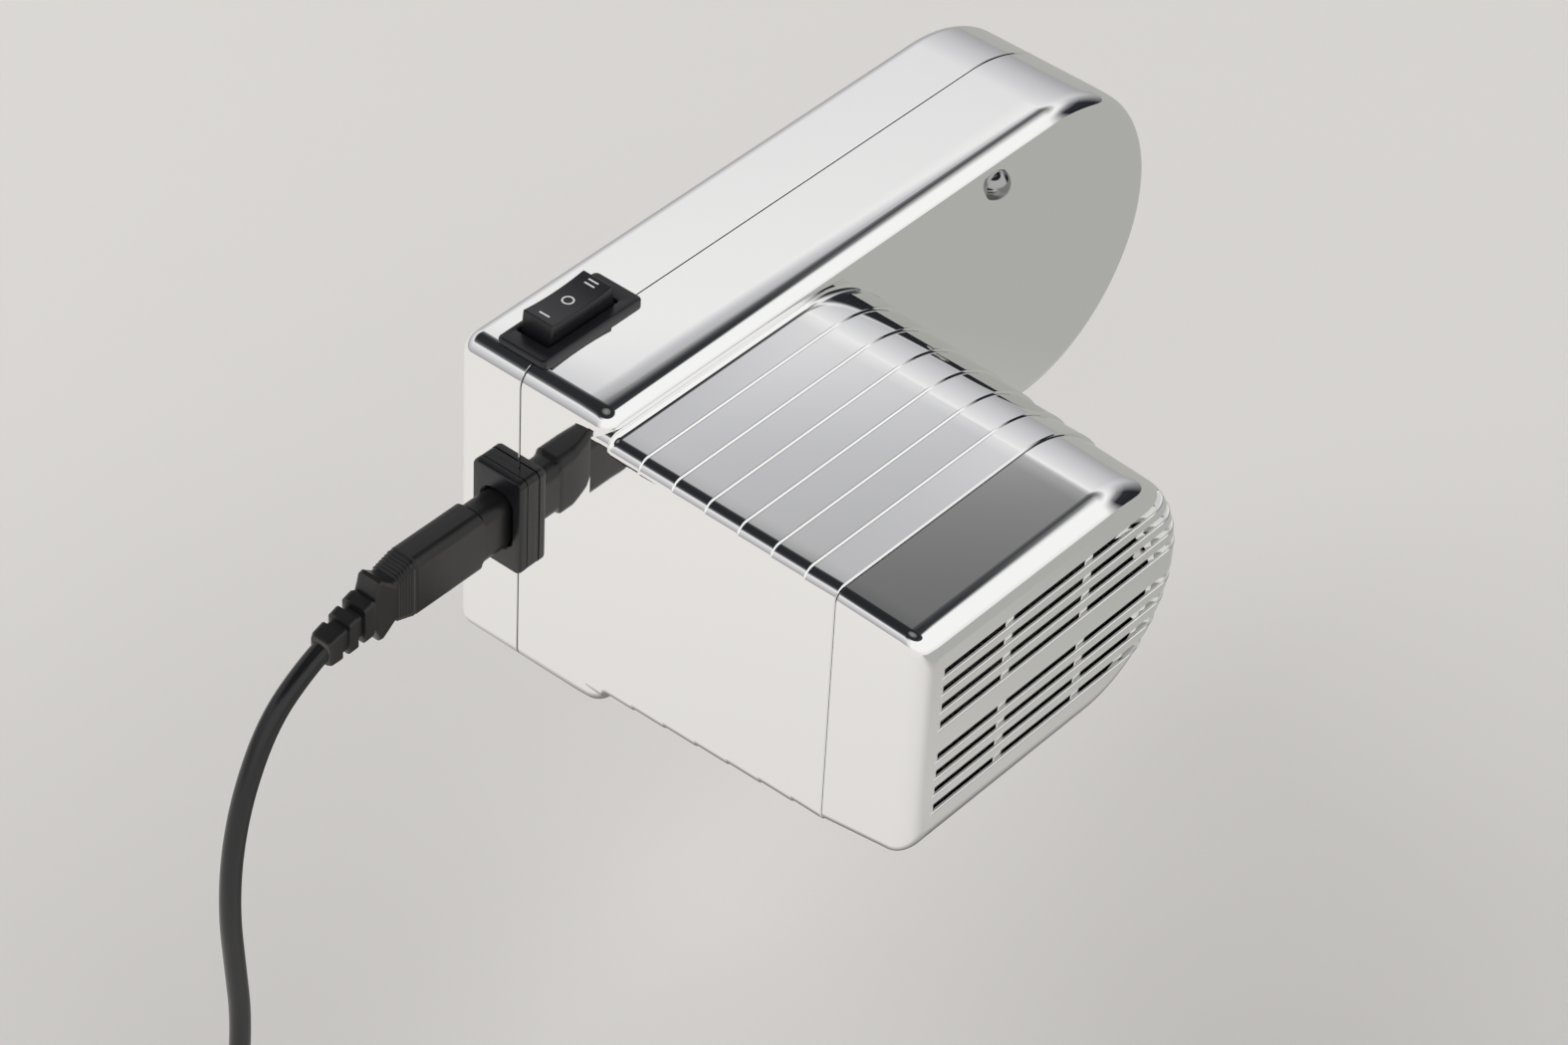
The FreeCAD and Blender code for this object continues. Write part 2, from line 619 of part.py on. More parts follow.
def slot_cutter(lip):
    """One slot of the grille: it runs out on a slope at the left and through the round side at the right."""
    left = INLET_Y + SLOT_END_INSET
    points = (
        Vector(END_X + WALL, left - WALL, lip), Vector(END_X + WALL, BARREL_RIGHT, lip),
        Vector(END_X - SLOT_DEPTH, BARREL_RIGHT, lip), Vector(END_X - SLOT_DEPTH, left + SLOT_DEPTH, lip),
    )
    return Part.Face(loop(points)).extrude(Vector(0, 0, SLOT_HEIGHT))


def make_end_cap():
    """The slotted cap: a shell with a lip that enters the barrel, and two ribs and a rim behind the bars."""
    cap = Part.makeLoft(cap_sections(0), True, True)
    hollow = Part.makeLoft(cap_sections(CAP_WALL), True, True)
    cap = cap.cut(hollow)
    for first_lip in (UPPER_SLOTS_TOP_LIP, LOWER_SLOTS_TOP_LIP):
        for slot in range(SLOTS_PER_GROUP):
            cap = cap.cut(slot_cutter(first_lip - slot * SLOT_PITCH))
    rib_x = END_X - CAP_WALL - GRILLE_RIB_DEPTH
    grid = prism(d_section(rib_x, INLET_Y + CAP_ROUND, BARREL_RIGHT - GRILLE_RIM_INSET - CAP_ROUND,
                           CAP_END_TOP - GRILLE_RIM_INSET, CAP_END_BOTTOM + GRILLE_RIM_INSET, BARREL_CORNER),
                 GRILLE_RIB_DEPTH)
    inside = GRILLE_RIM_INSET + GRILLE_RIM_WIDTH
    opening = d_section(rib_x, INLET_Y - inside, BARREL_RIGHT - inside - CAP_ROUND, CAP_END_TOP - inside,
                        CAP_END_BOTTOM + inside, BARREL_CORNER)
    grid = grid.cut(prism(opening, GRILLE_RIB_DEPTH))
    for inset in GRILLE_RIB_INSETS:
        middle = INLET_Y + inset
        grid = grid.fuse(box(rib_x, rib_x + GRILLE_RIB_DEPTH, middle - GRILLE_RIB_WIDTH / 2,
                             middle + GRILLE_RIB_WIDTH / 2, CAP_END_BOTTOM + inside, CAP_END_TOP - inside))
    lip_start = CAP_X - CAP_LIP_DEPTH
    lip = prism(cavity_section(lip_start, PANEL_GAP), CAP_LIP_DEPTH + CAP_WALL)
    lip = lip.cut(prism(cavity_section(lip_start, PANEL_GAP + CAP_LIP_WALL), CAP_LIP_DEPTH + CAP_WALL))
    return cap.fuse(grid).fuse(lip).removeSplitter()


def make_anchor_bolt():
    """The bolt that ties both halves of the case above the output gear, with a domed head on the face."""
    bolt = rod(ANCHOR_SHANK_RADIUS, INNER_BACK_X, FACE_X, ANCHOR_Y, ANCHOR_Z)
    sphere_radius = (ANCHOR_HEAD_RADIUS ** 2 + ANCHOR_HEAD_HEIGHT ** 2) / (2 * ANCHOR_HEAD_HEIGHT)
    centre = Vector(FACE_X + ANCHOR_HEAD_HEIGHT - sphere_radius, ANCHOR_Y, ANCHOR_Z)
    dome = Part.makeSphere(sphere_radius, centre, Vector(1, 0, 0))
    dome = dome.common(rod(ANCHOR_HEAD_RADIUS, FACE_X, FACE_X + ANCHOR_HEAD_HEIGHT, ANCHOR_Y, ANCHOR_Z))
    return bolt.fuse(dome).removeSplitter()


def make_locating_pin():
    """The pin on the machine side, seated in a boss of the cover."""
    pin = rod(LOCATING_PIN_RADIUS, BACK_X - LOCATING_PIN_LENGTH, BACK_X, LOCATING_PIN_Y, LOCATING_PIN_Z)
    seat = rod(LOCATING_SEAT_RADIUS, BACK_X, LOCATING_BOSS_X, LOCATING_PIN_Y, LOCATING_PIN_Z)
    return pin.fuse(seat).removeSplitter()


def make_cover_screws():
    """The screws that close the case, driven from the machine side."""
    head_x = BACK_X + SCREW_RECESS
    shank_x = head_x + SCREW_HEAD_HEIGHT
    screws = []
    for y, z in SCREW_PLACES:
        head = rod(SCREW_HEAD_RADIUS, head_x, shank_x, y, z)
        screws.append(head.fuse(rod(SCREW_RADIUS, head_x, shank_x + SCREW_LENGTH, y, z)).removeSplitter())
    return Part.makeCompound(screws)


def make_switch_body():
    """The frame of the switch with its bezel and the well that the rocker swings in."""
    bezel = box(BEZEL_X, BEZEL_X + BEZEL_DEPTH, BEZEL_Y, BEZEL_Y + BEZEL_LENGTH, END_RADIUS, BEZEL_TOP_Z)
    top = [e for e in bezel.Edges if all(abs(v.Z - BEZEL_TOP_Z) < TOUCH for v in e.Vertexes)]
    body = bezel.makeChamfer(BEZEL_EDGE, top).fuse(switch_well(0))
    half = ROCKER_LENGTH / 2 + ROCKER_SWING_ROOM
    right_x = ROCKER_X + ROCKER_WIDTH
    body = body.cut(box(ROCKER_X - BODY_GAP, right_x + BODY_GAP, SWITCH_Y - half, SWITCH_Y + half,
                        PIVOT_Z - ROCKER_WELL, BEZEL_TOP_Z))
    reach = PIVOT_REACH + BODY_GAP
    pivot = rod(PIVOT_RADIUS + RUNNING_GAP, ROCKER_X - reach, right_x + reach, SWITCH_Y, PIVOT_Z)
    return body.cut(pivot).removeSplitter()


def make_switch_rocker():
    """The rocker with its two trunnions."""
    top_z = BEZEL_TOP_Z + ROCKER_RISE
    outline = (
        (-ROCKER_FOOT_LENGTH / 2, PIVOT_Z - ROCKER_FOOT), (ROCKER_FOOT_LENGTH / 2, PIVOT_Z - ROCKER_FOOT),
        (ROCKER_LENGTH / 2, PIVOT_Z), (ROCKER_TOP_LENGTH / 2, top_z),
        (0, top_z - ROCKER_DIP), (-ROCKER_TOP_LENGTH / 2, top_z), (-ROCKER_LENGTH / 2, PIVOT_Z),
    )
    rocker = prism(loop([Vector(ROCKER_X, SWITCH_Y + y, z) for y, z in outline]), ROCKER_WIDTH)
    pivot = rod(PIVOT_RADIUS, ROCKER_X - PIVOT_REACH, ROCKER_X + ROCKER_WIDTH + PIVOT_REACH, SWITCH_Y, PIVOT_Z)
    return rocker.fuse(pivot).removeSplitter()


def make_switch_terminals():
    """The blades under the switch."""
    middle_x = BEZEL_X + BEZEL_DEPTH / 2
    top = END_RADIUS - SWITCH_BODY_HEIGHT
    blades = []
    for number in range(SWITCH_BLADES):
        y = SWITCH_Y + (number - (SWITCH_BLADES - 1) / 2) * SWITCH_BLADE_PITCH
        blades.append(box(middle_x - BLADE_THICKNESS / 2, middle_x + BLADE_THICKNESS / 2, y - BLADE_WIDTH / 2,
                          y + BLADE_WIDTH / 2, top - BLADE_LENGTH, top))
    return Part.makeCompound(blades)


def flange_plate(y0, y1):
    """A layer of the inlet's flange."""
    return rounded_block(INLET_X - FLANGE_WIDTH / 2, INLET_X + FLANGE_WIDTH / 2, y0, y1, INLET_Z - FLANGE_HEIGHT / 2,
                         INLET_Z + FLANGE_HEIGHT / 2, FLANGE_CORNER, Vector(0, 1, 0))


def make_inlet_frame():
    """The outer layer of the inlet's flange."""
    return flange_plate(FRAME_Y, FLANGE_Y).cut(socket_hole(FRAME_Y, FLANGE_Y))


def inlet_pin_places():
    """The heights of the two poles of the inlet."""
    return (INLET_Z - INLET_PIN_PITCH / 2, INLET_Z + INLET_PIN_PITCH / 2)


def rod_y(radius, y0, y1, x, z):
    """A round rod along Y."""
    return Part.makeCylinder(radius, y1 - y0, Vector(x, y0, z), Vector(0, 1, 0))


def make_inlet_socket():
    """The socket of the inlet with the base layer of its flange."""
    back_y = INLET_Y + SOCKET_DEPTH
    socket = flange_plate(FLANGE_Y, INLET_Y).fuse(socket_block(INLET_Y, back_y, 0))
    socket = socket.cut(socket_hole(FLANGE_Y, SOCKET_FLOOR_Y))
    for z in inlet_pin_places():
        socket = socket.cut(rod_y(INLET_PIN_RADIUS + SEAT_GAP, SOCKET_FLOOR_Y, back_y, INLET_X, z))
    return socket.removeSplitter()


def make_inlet_pins():
    """The two pins of the inlet with their solder blades."""
    back_y = INLET_Y + SOCKET_DEPTH
    pins = []
    for z in inlet_pin_places():
        pin = rod_y(INLET_PIN_RADIUS, SOCKET_FLOOR_Y - INLET_PIN_REACH, back_y, INLET_X, z)
        blade = box(INLET_X - BLADE_THICKNESS / 2, INLET_X + BLADE_THICKNESS / 2, back_y, back_y + BLADE_WIDTH,
                    z - INLET_PIN_RADIUS, z + INLET_PIN_RADIUS)
        pins.append(pin.fuse(blade).removeSplitter())
    return Part.makeCompound(pins)


def make_suppressor_capacitor():
    """The capacitor on the inside of the cover."""
    block = box(INNER_BACK_X, INNER_BACK_X + CAPACITOR_DEPTH, CAPACITOR_Y - CAPACITOR_LENGTH / 2,
                CAPACITOR_Y + CAPACITOR_LENGTH / 2, CAPACITOR_Z - CAPACITOR_HEIGHT / 2,
                CAPACITOR_Z + CAPACITOR_HEIGHT / 2)
    return block.makeChamfer(CAPACITOR_EDGE, edges_at(block, INNER_BACK_X + CAPACITOR_DEPTH))


def square_plate(x0, x1):
    """A square motor plate with rounded corners."""
    half = STATOR_SIDE / 2
    return rounded_block(x0, x1, MOTOR_Y - half, MOTOR_Y + half, -half, half, STATOR_CORNER, Vector(1, 0, 0))


def drill_motor_screws(shape, x0, x1):
    """A motor piece with its screw holes."""
    for y, z in MOTOR_SCREWS:
        shape = shape.cut(rod(MOTOR_SCREW_RADIUS + SEAT_GAP, x0, x1, y, z))
    return shape


def make_stator_core():
    """The laminated core: two poles about the armature and a window beside each pole flank."""
    core = square_plate(STATOR_X, STATOR_END_X).cut(rod(POLE_BORE, STATOR_X, STATOR_END_X, MOTOR_Y))
    for side in (-1, 1):
        for z0 in (POLE_HALF_WIDTH, -POLE_HALF_WIDTH - WINDOW_HEIGHT):
            ends = sorted((MOTOR_Y + side * WINDOW_INNER, MOTOR_Y + side * WINDOW_OUTER))
            core = core.cut(box(STATOR_X, STATOR_END_X, ends[0], ends[1], z0, z0 + WINDOW_HEIGHT))
    return drill_motor_screws(core, STATOR_X, STATOR_END_X).removeSplitter()


def make_field_coils():
    """The two field coils, one round each pole."""
    coils = []
    for side in (-1, 1):
        outer_y = WINDOW_OUTER - BODY_GAP
        ends = sorted((MOTOR_Y + side * outer_y, MOTOR_Y + side * (outer_y - COIL_THICKNESS)))
        reach = POLE_HALF_WIDTH + WINDOW_HEIGHT - BODY_GAP
        coil = rounded_block(STATOR_X - COIL_OVERHANG, STATOR_END_X + COIL_OVERHANG, ends[0], ends[1], -reach, reach,
                             COIL_ROUND, Vector(0, 1, 0))
        hole = POLE_HALF_WIDTH + BODY_GAP
        coils.append(coil.cut(box(STATOR_X - BODY_GAP, STATOR_END_X + BODY_GAP, ends[0], ends[1], -hole, hole)))
    return Part.makeCompound(coils)


def make_front_bracket():
    """The bracket between bulkhead and stator, with a pilot in the bulkhead and the seat of the front bush."""
    plate = square_plate(FACE_X, FACE_X + BRACKET_THICKNESS)
    hub_end = FACE_X + BRACKET_THICKNESS + FRONT_HUB_LENGTH
    pilot_x = FACE_X - BRACKET_PILOT_DEPTH
    plate = plate.fuse(rod(BRACKET_PILOT_RADIUS, pilot_x, FACE_X, MOTOR_Y))
    plate = plate.fuse(rod(FRONT_HUB_RADIUS, FACE_X, hub_end, MOTOR_Y))
    for y, z in MOTOR_SCREWS:
        plate = plate.fuse(rod(COLUMN_RADIUS, FACE_X + BRACKET_THICKNESS, STATOR_X, y, z))
    plate = plate.cut(rod(MOTOR_SHAFT_RADIUS + MOTOR_BUSH_WALL + SEAT_GAP, pilot_x, hub_end, MOTOR_Y))
    return drill_motor_screws(plate, FACE_X, STATOR_X).removeSplitter()


def make_front_bush():
    """The plain bearing at the pinion's end of the motor."""
    return tube(MOTOR_SHAFT_RADIUS + MOTOR_BUSH_WALL, MOTOR_SHAFT_RADIUS + RUNNING_GAP, FACE_X - BRACKET_PILOT_DEPTH,
                FACE_X + BRACKET_THICKNESS + FRONT_HUB_LENGTH, MOTOR_Y)


def make_rear_bracket():
    """The bracket behind the commutator, on two columns, with air windows and the seat of the rear bush."""
    plate = square_plate(REAR_BRACKET_X, REAR_BRACKET_END_X)
    for side in (-1, 1):
        inner = STATOR_SIDE / 2 - BRACKET_WINDOW_INSET - BRACKET_WINDOW_WIDTH
        ends = sorted((MOTOR_Y + side * inner, MOTOR_Y + side * (inner + BRACKET_WINDOW_WIDTH)))
        plate = plate.cut(box(REAR_BRACKET_X, REAR_BRACKET_END_X, ends[0], ends[1],
                              -BRACKET_WINDOW_HEIGHT / 2, BRACKET_WINDOW_HEIGHT / 2))
    plate = plate.fuse(rod(REAR_HUB_RADIUS, REAR_BRACKET_X, REAR_HUB_END_X, MOTOR_Y))
    for y, z in MOTOR_SCREWS:
        plate = plate.fuse(rod(COLUMN_RADIUS, STATOR_END_X, REAR_BRACKET_X, y, z))
    plate = plate.cut(rod(MOTOR_SHAFT_RADIUS + MOTOR_BUSH_WALL + SEAT_GAP, REAR_BRACKET_X, REAR_HUB_END_X, MOTOR_Y))
    return drill_motor_screws(plate, STATOR_END_X, REAR_BRACKET_END_X).removeSplitter()


def make_rear_bush():
    """The plain bearing at the fan's end of the motor."""
    return tube(MOTOR_SHAFT_RADIUS + MOTOR_BUSH_WALL, MOTOR_SHAFT_RADIUS + RUNNING_GAP, REAR_BRACKET_X,
                REAR_HUB_END_X, MOTOR_Y)


def make_motor_screws():
    """The long screws that clamp brackets and stator to the bulkhead."""
    screws = []
    for y, z in MOTOR_SCREWS:
        head = rod(MOTOR_SCREW_HEAD, REAR_BRACKET_END_X, REAR_BRACKET_END_X + MOTOR_SCREW_HEAD_HEIGHT, y, z)
        screws.append(head.fuse(rod(MOTOR_SCREW_RADIUS, BULKHEAD_X, REAR_BRACKET_END_X, y, z)).removeSplitter())
    return Part.makeCompound(screws)


def brush_solids(width, depth, inner, outer):
    """A pair of blocks above and below the commutator."""
    middle = COMMUTATOR_X + COMMUTATOR_LENGTH / 2
    return [box(middle - depth / 2, middle + depth / 2, MOTOR_Y - width / 2, MOTOR_Y + width / 2, z0, z1)
            for z0, z1 in ((inner, outer), (-outer, -inner))]


def make_carbon_brushes():
    """The two brushes that press on the commutator."""
    inner = COMMUTATOR_RADIUS + RUNNING_GAP
    return Part.makeCompound(brush_solids(BRUSH_WIDTH, BRUSH_DEPTH, inner, inner + BRUSH_LENGTH))


def make_brush_holders():
    """The tubes that guide the brushes, standing on the rear bracket."""
    inner = COMMUTATOR_RADIUS + BRUSH_STANDOFF
    outer = inner + BRUSH_HOLDER_LENGTH
    wall = 2 * BRUSH_HOLDER_WALL
    holes = brush_solids(BRUSH_WIDTH + 2 * SEAT_GAP, BRUSH_DEPTH + 2 * SEAT_GAP, inner, outer)
    holders = []
    for block, hole in zip(brush_solids(BRUSH_WIDTH + wall, BRUSH_DEPTH + wall, inner, outer), holes):
        bounds = block.BoundBox
        foot = box(bounds.XMax, REAR_BRACKET_X, bounds.YMin, bounds.YMax, bounds.ZMin, bounds.ZMax)
        holders.append(block.fuse(foot).cut(hole).removeSplitter())
    return Part.makeCompound(holders)


def make_gear_a_pin():
    """The fixed pin of the first compound gear, held at both ends."""
    return rod(GEAR_PIN_RADIUS, INNER_BACK_X, BULKHEAD_X + PIN_SEAT_DEPTH, GEAR_A_Y)


def make_gear_b_pin():
    """The fixed pin of the second compound gear, with a collar that keeps the gear in its place."""
    collar_x = GEAR_B_END_X + END_FLOAT
    pin = rod(GEAR_PIN_RADIUS, INNER_BACK_X, collar_x, GEAR_B_Y)
    return pin.fuse(rod(GEAR_B_PIN_COLLAR, collar_x, BULKHEAD_X + PIN_SEAT_DEPTH, GEAR_B_Y)).removeSplitter()


def make_output_bush_inner():
    """The plain bearing in the cover."""
    return tube(JOURNAL_RADIUS + BUSH_WALL, JOURNAL_RADIUS + RUNNING_GAP, BACK_X, BUSH_END_X)


def make_output_bush_outer():
    """The plain bearing in the bulkhead."""
    return tube(JOURNAL_RADIUS + BUSH_WALL, JOURNAL_RADIUS + RUNNING_GAP, OUTER_BUSH_X, BULKHEAD_X)


def make_motor_shaft():
    """The shaft of the rotor."""
    return rod(MOTOR_SHAFT_RADIUS, GEAR_A_X - SHAFT_PINION_END, FAN_END_X, MOTOR_Y)


def radial_slots(radius, count, width, depth, x0, x1):
    """Slots cut from the rim of a round rotor piece."""
    slots = []
    for number in range(count):
        slot = box(x0, x1, -width / 2, width / 2, radius - depth, radius + depth)
        slot.rotate(Vector(), Vector(1, 0, 0), number * 360 / count)
        slot.translate(Vector(0, MOTOR_Y, 0))
        slots.append(slot)
    return slots


def make_armature_core():
    """The slotted core of the rotor."""
    radius = POLE_BORE - AIR_GAP
    core = tube(radius, MOTOR_SHAFT_RADIUS + SEAT_GAP, STATOR_X, STATOR_END_X, MOTOR_Y)
    return core.cut(Part.makeCompound(radial_slots(radius, ARMATURE_SLOTS, ARMATURE_SLOT_WIDTH, ARMATURE_SLOT_DEPTH,
                                                   STATOR_X, STATOR_END_X)))


def make_armature_windings():
    """The end turns of the rotor's winding, one ring at each end of the core."""
    rings = []
    for x0 in (STATOR_X - WINDING_LENGTH, STATOR_END_X):
        ring = rod(WINDING_RADIUS, x0, x0 + WINDING_LENGTH, MOTOR_Y)
        ring = ring.makeFillet(WINDING_ROUND, edges_at(ring, x0) + edges_at(ring, x0 + WINDING_LENGTH))
        rings.append(ring.cut(rod(MOTOR_SHAFT_RADIUS + SEAT_GAP, x0, x0 + WINDING_LENGTH, MOTOR_Y)))
    return Part.makeCompound(rings)


def make_commutator():
    """The copper cylinder that the brushes run on, cut into bars."""
    drum = tube(COMMUTATOR_RADIUS, MOTOR_SHAFT_RADIUS + SEAT_GAP, COMMUTATOR_X, COMMUTATOR_END_X, MOTOR_Y)
    return drum.cut(Part.makeCompound(radial_slots(COMMUTATOR_RADIUS, ARMATURE_SLOTS, COMMUTATOR_CUT_WIDTH,
                                                   COMMUTATOR_CUT_DEPTH, COMMUTATOR_X, COMMUTATOR_END_X)))


def make_cooling_fan():
    """The fan behind the rear bracket: a disc with straight blades and a hub."""
    fan = rod(FAN_RADIUS, FAN_X, FAN_X + FAN_DISC, MOTOR_Y).fuse(rod(FAN_HUB_RADIUS, FAN_X, FAN_END_X, MOTOR_Y))
    for number in range(FAN_BLADES):
        half = FAN_BLADE_THICKNESS / 2
        blade = box(FAN_X, FAN_END_X, -half, half, MOTOR_SHAFT_RADIUS, FAN_RADIUS)
        blade.rotate(Vector(), Vector(1, 0, 0), number * 360 / FAN_BLADES)
        blade.translate(Vector(0, MOTOR_Y, 0))
        fan = fan.fuse(blade)
    return fan.cut(rod(MOTOR_SHAFT_RADIUS + SEAT_GAP, FAN_X, FAN_END_X, MOTOR_Y)).removeSplitter()


def make_motor_pinion():
    """The small gear on the motor's shaft."""
    return gear(MOTOR_PINION_TEETH, FINE_MODULE, GEAR_A_X - PINION_OVERLAP, GEAR_A_END_X + PINION_OVERLAP,
                MOTOR_Y, 0.0, MOTOR_SHAFT_RADIUS + SEAT_GAP)


def make_gear_a():
    """The first compound gear: a wheel by the bulkhead, a pinion and a long hub."""
    bore = GEAR_PIN_RADIUS + RUNNING_GAP
    wheel = gear(GEAR_A_TEETH, FINE_MODULE, GEAR_A_X, GEAR_A_END_X, GEAR_A_Y, meshing_turn(GEAR_A_TEETH), bore)
    pinion = gear(GEAR_A_PINION_TEETH, FINE_MODULE, GEAR_B_X - PINION_OVERLAP, GEAR_A_X, GEAR_A_Y, 0.0, bore)
    hub = tube(GEAR_HUB_RADIUS, bore, PIN_BOSS_X + END_FLOAT, BULKHEAD_X - END_FLOAT, GEAR_A_Y)
    return wheel.fuse(pinion).fuse(hub).removeSplitter()


def make_gear_b():
    """The second compound gear: a wheel in the middle layer and a coarse pinion by the cover."""
    bore = GEAR_PIN_RADIUS + RUNNING_GAP
    wheel = gear(GEAR_B_TEETH, FINE_MODULE, GEAR_B_X, GEAR_B_END_X, GEAR_B_Y, meshing_turn(GEAR_B_TEETH), bore)
    pinion = gear(GEAR_B_PINION_TEETH, COARSE_MODULE, PIN_BOSS_X + END_FLOAT, GEAR_B_X, GEAR_B_Y, 0.0, bore)
    return wheel.fuse(pinion).removeSplitter()


def key_block(gap):
    """The key between gear and shaft, or the room for it with a gap."""
    middle_z = GEAR_SEAT_RADIUS
    return box(OUTPUT_X + KEY_INSET - gap, OUTPUT_END_X - KEY_INSET + gap, -KEY_WIDTH / 2 - gap,
               KEY_WIDTH / 2 + gap, middle_z - KEY_HEIGHT / 2 - gap, middle_z + KEY_HEIGHT / 2 + gap)


def make_output_gear():
    """The large gear on the output shaft, with a keyway through its bore."""
    wheel = gear(OUTPUT_TEETH, COARSE_MODULE, OUTPUT_X, OUTPUT_END_X, 0.0, meshing_turn(OUTPUT_TEETH),
                 GEAR_SEAT_RADIUS + SEAT_GAP)
    half = KEY_WIDTH / 2 + SEAT_GAP
    return wheel.cut(box(OUTPUT_X, OUTPUT_END_X, -half, half, 0, GEAR_SEAT_RADIUS + KEY_HEIGHT / 2 + SEAT_GAP))


def make_output_shaft():
    """The output shaft: a tongued stub for the machine, two journals, the gear's seat and a collar."""
    tongue_x = -STUB_LENGTH - TONGUE_LENGTH
    tongue = rod(TONGUE_RADIUS, tongue_x, -STUB_LENGTH)
    tongue = tongue.makeChamfer(STUB_CHAMFER, edges_at(tongue, tongue_x))
    half = TONGUE_THICKNESS / 2
    tongue = tongue.common(box(tongue_x, -STUB_LENGTH, -TONGUE_RADIUS, TONGUE_RADIUS, -half, half))
    shaft = tongue.fuse(rod(STUB_RADIUS, -STUB_LENGTH, 0)).fuse(rod(JOURNAL_RADIUS, 0, RING_X))
    shaft = shaft.fuse(rod(RING_GROOVE_RADIUS, RING_X, OUTPUT_X))
    shaft = shaft.fuse(rod(GEAR_SEAT_RADIUS, OUTPUT_X, OUTPUT_END_X))
    shaft = shaft.fuse(rod(SHAFT_COLLAR_RADIUS, OUTPUT_END_X, COLLAR_END_X))
    shaft = shaft.fuse(rod(JOURNAL_RADIUS, COLLAR_END_X, BULKHEAD_X - END_FLOAT))
    return shaft.cut(key_block(SEAT_GAP)).removeSplitter()


def make_drive_key():
    """The key that ties the output gear to the shaft."""
    return key_block(0)


def make_retaining_ring():
    """The ring that keeps the output gear on its seat."""
    return tube(RING_RADIUS, RING_GROOVE_RADIUS + SEAT_GAP, RING_X, OUTPUT_X)


def make_lead_connector():
    """The connector of the lead: a nose in the inlet, a body with a grip, finger wings and a strain relief."""
    half = CONNECTOR_WIDTH / 2
    along_y = Vector(0, 1, 0)

    def block(y0, y1, height):
        return rounded_block(INLET_X - half, INLET_X + half, y0, y1, INLET_Z - height / 2, INLET_Z + height / 2,
                             CONNECTOR_CORNER, along_y)

    tip_y = SOCKET_FLOOR_Y - NOSE_TIP_GAP
    shape = socket_hole(CONNECTOR_Y, tip_y, BODY_GAP).fuse(block(GRIP_Y, CONNECTOR_Y, CONNECTOR_HEIGHT))
    shape = shape.fuse(block(WING_Y, GRIP_Y, GRIP_HEIGHT)).fuse(block(RELIEF_Y, WING_Y, NECK_HEIGHT))
    for side in (-1, 1):
        flare = (
            (WING_Y, NECK_HEIGHT / 2 - CONNECTOR_CORNER), (WING_Y, NECK_HEIGHT / 2),
            (RELIEF_Y + WING_THICKNESS, WING_SPAN / 2), (RELIEF_Y, WING_SPAN / 2),
            (RELIEF_Y + WING_THICKNESS / 2, NECK_HEIGHT / 2 - CONNECTOR_CORNER),
        )
        wing = loop([Vector(INLET_X - half, y, INLET_Z + side * z) for y, z in flare])
        shape = shape.fuse(prism(wing, CONNECTOR_WIDTH))
    shape = shape.fuse(strain_relief())
    pin_y = SOCKET_FLOOR_Y - INLET_PIN_REACH - BODY_GAP
    for z in inlet_pin_places():
        shape = shape.cut(rod_y(INLET_PIN_RADIUS + BODY_GAP, pin_y, tip_y, INLET_X, z))
    return shape.removeSplitter()


def strain_relief():
    """The tapered, notched tail of the connector, which droops with the lead."""
    def section(y, width, height, z):
        left = INLET_X - width / 2
        right = INLET_X + width / 2
        low = z - height / 2
        high = z + height / 2
        return loop([Vector(left, y, low), Vector(right, y, low), Vector(right, y, high), Vector(left, y, high)])

    end_z = INLET_Z - RELIEF_DROP
    relief = Part.makeLoft([section(RELIEF_Y, CONNECTOR_WIDTH, NECK_HEIGHT, INLET_Z),
                            section(RELIEF_END_Y, RELIEF_WIDTH, RELIEF_HEIGHT, end_z)], True, True)
    for number in range(RELIEF_NOTCHES):
        y = RELIEF_END_Y + (number + 1) * RELIEF_NOTCH_PITCH
        middle = end_z + RELIEF_DROP * (y - RELIEF_END_Y) / RELIEF_LENGTH
        core = CORD_RADIUS + RELIEF_NOTCH_DEPTH / 2
        for low, high in ((middle + core, INLET_Z + NECK_HEIGHT), (INLET_Z - NECK_HEIGHT, middle - core)):
            relief = relief.cut(box(INLET_X - CONNECTOR_WIDTH, INLET_X + CONNECTOR_WIDTH, y, y + RELIEF_NOTCH,
                                    low, high))
    return relief


def bend(start, control, end):
    """The arc that leaves start towards a control point and reaches end from it."""
    middle = (start + end) * 0.5
    half_chord = (end - start).Length / 2
    cosine = half_chord / (control - start).Length
    sagitta = half_chord * math.sqrt(1 - cosine ** 2) / (1 + cosine)
    return Part.Arc(start, middle + (control - middle).normalize() * sagitta, end).toShape()


def swept(edges):
    """A round tube of the lead along joined edges."""
    path = Part.Wire(edges)
    start = edges[0].valueAt(edges[0].FirstParameter)
    direction = edges[0].tangentAt(edges[0].FirstParameter)
    ring = Part.Wire(Part.makeCircle(CORD_RADIUS, start, direction))
    solid = path.makePipeShell([ring], True, False)
    share = solid.Volume / (math.pi * CORD_RADIUS ** 2 * path.Length)
    print("tube length", round(path.Length, 1), "volume over section times length", round(share, 4))
    return solid


def make_cord_run():
    """The free stretch of the lead: straight runs joined by the largest tangent arcs."""
    points = [Vector(CORD_X, y, z) for y, z in CORD_POINTS]
    edges = []
    last = points[0]
    for before, point, after in zip(points, points[1:], points[2:]):
        into = point - before
        away = after - point
        cut = CORD_ARC_SHARE * min(into.Length, away.Length)
        print("arc radius", round(cut / math.tan(into.getAngle(away) / 2), 1))
        arc_start = point - into.normalize() * cut
        arc_end = point + away.normalize() * cut
        edges.append(Part.LineSegment(last, arc_start).toShape())
        edges.append(bend(arc_start, point, arc_end))
        last = arc_end
    edges.append(Part.LineSegment(last, points[-1]).toShape())
    return swept(edges)


def coil_turns():
    """All turns of the coil."""
    return COIL_TURNS_IN + COIL_CLIMB_TURNS + COIL_TURNS_OUT


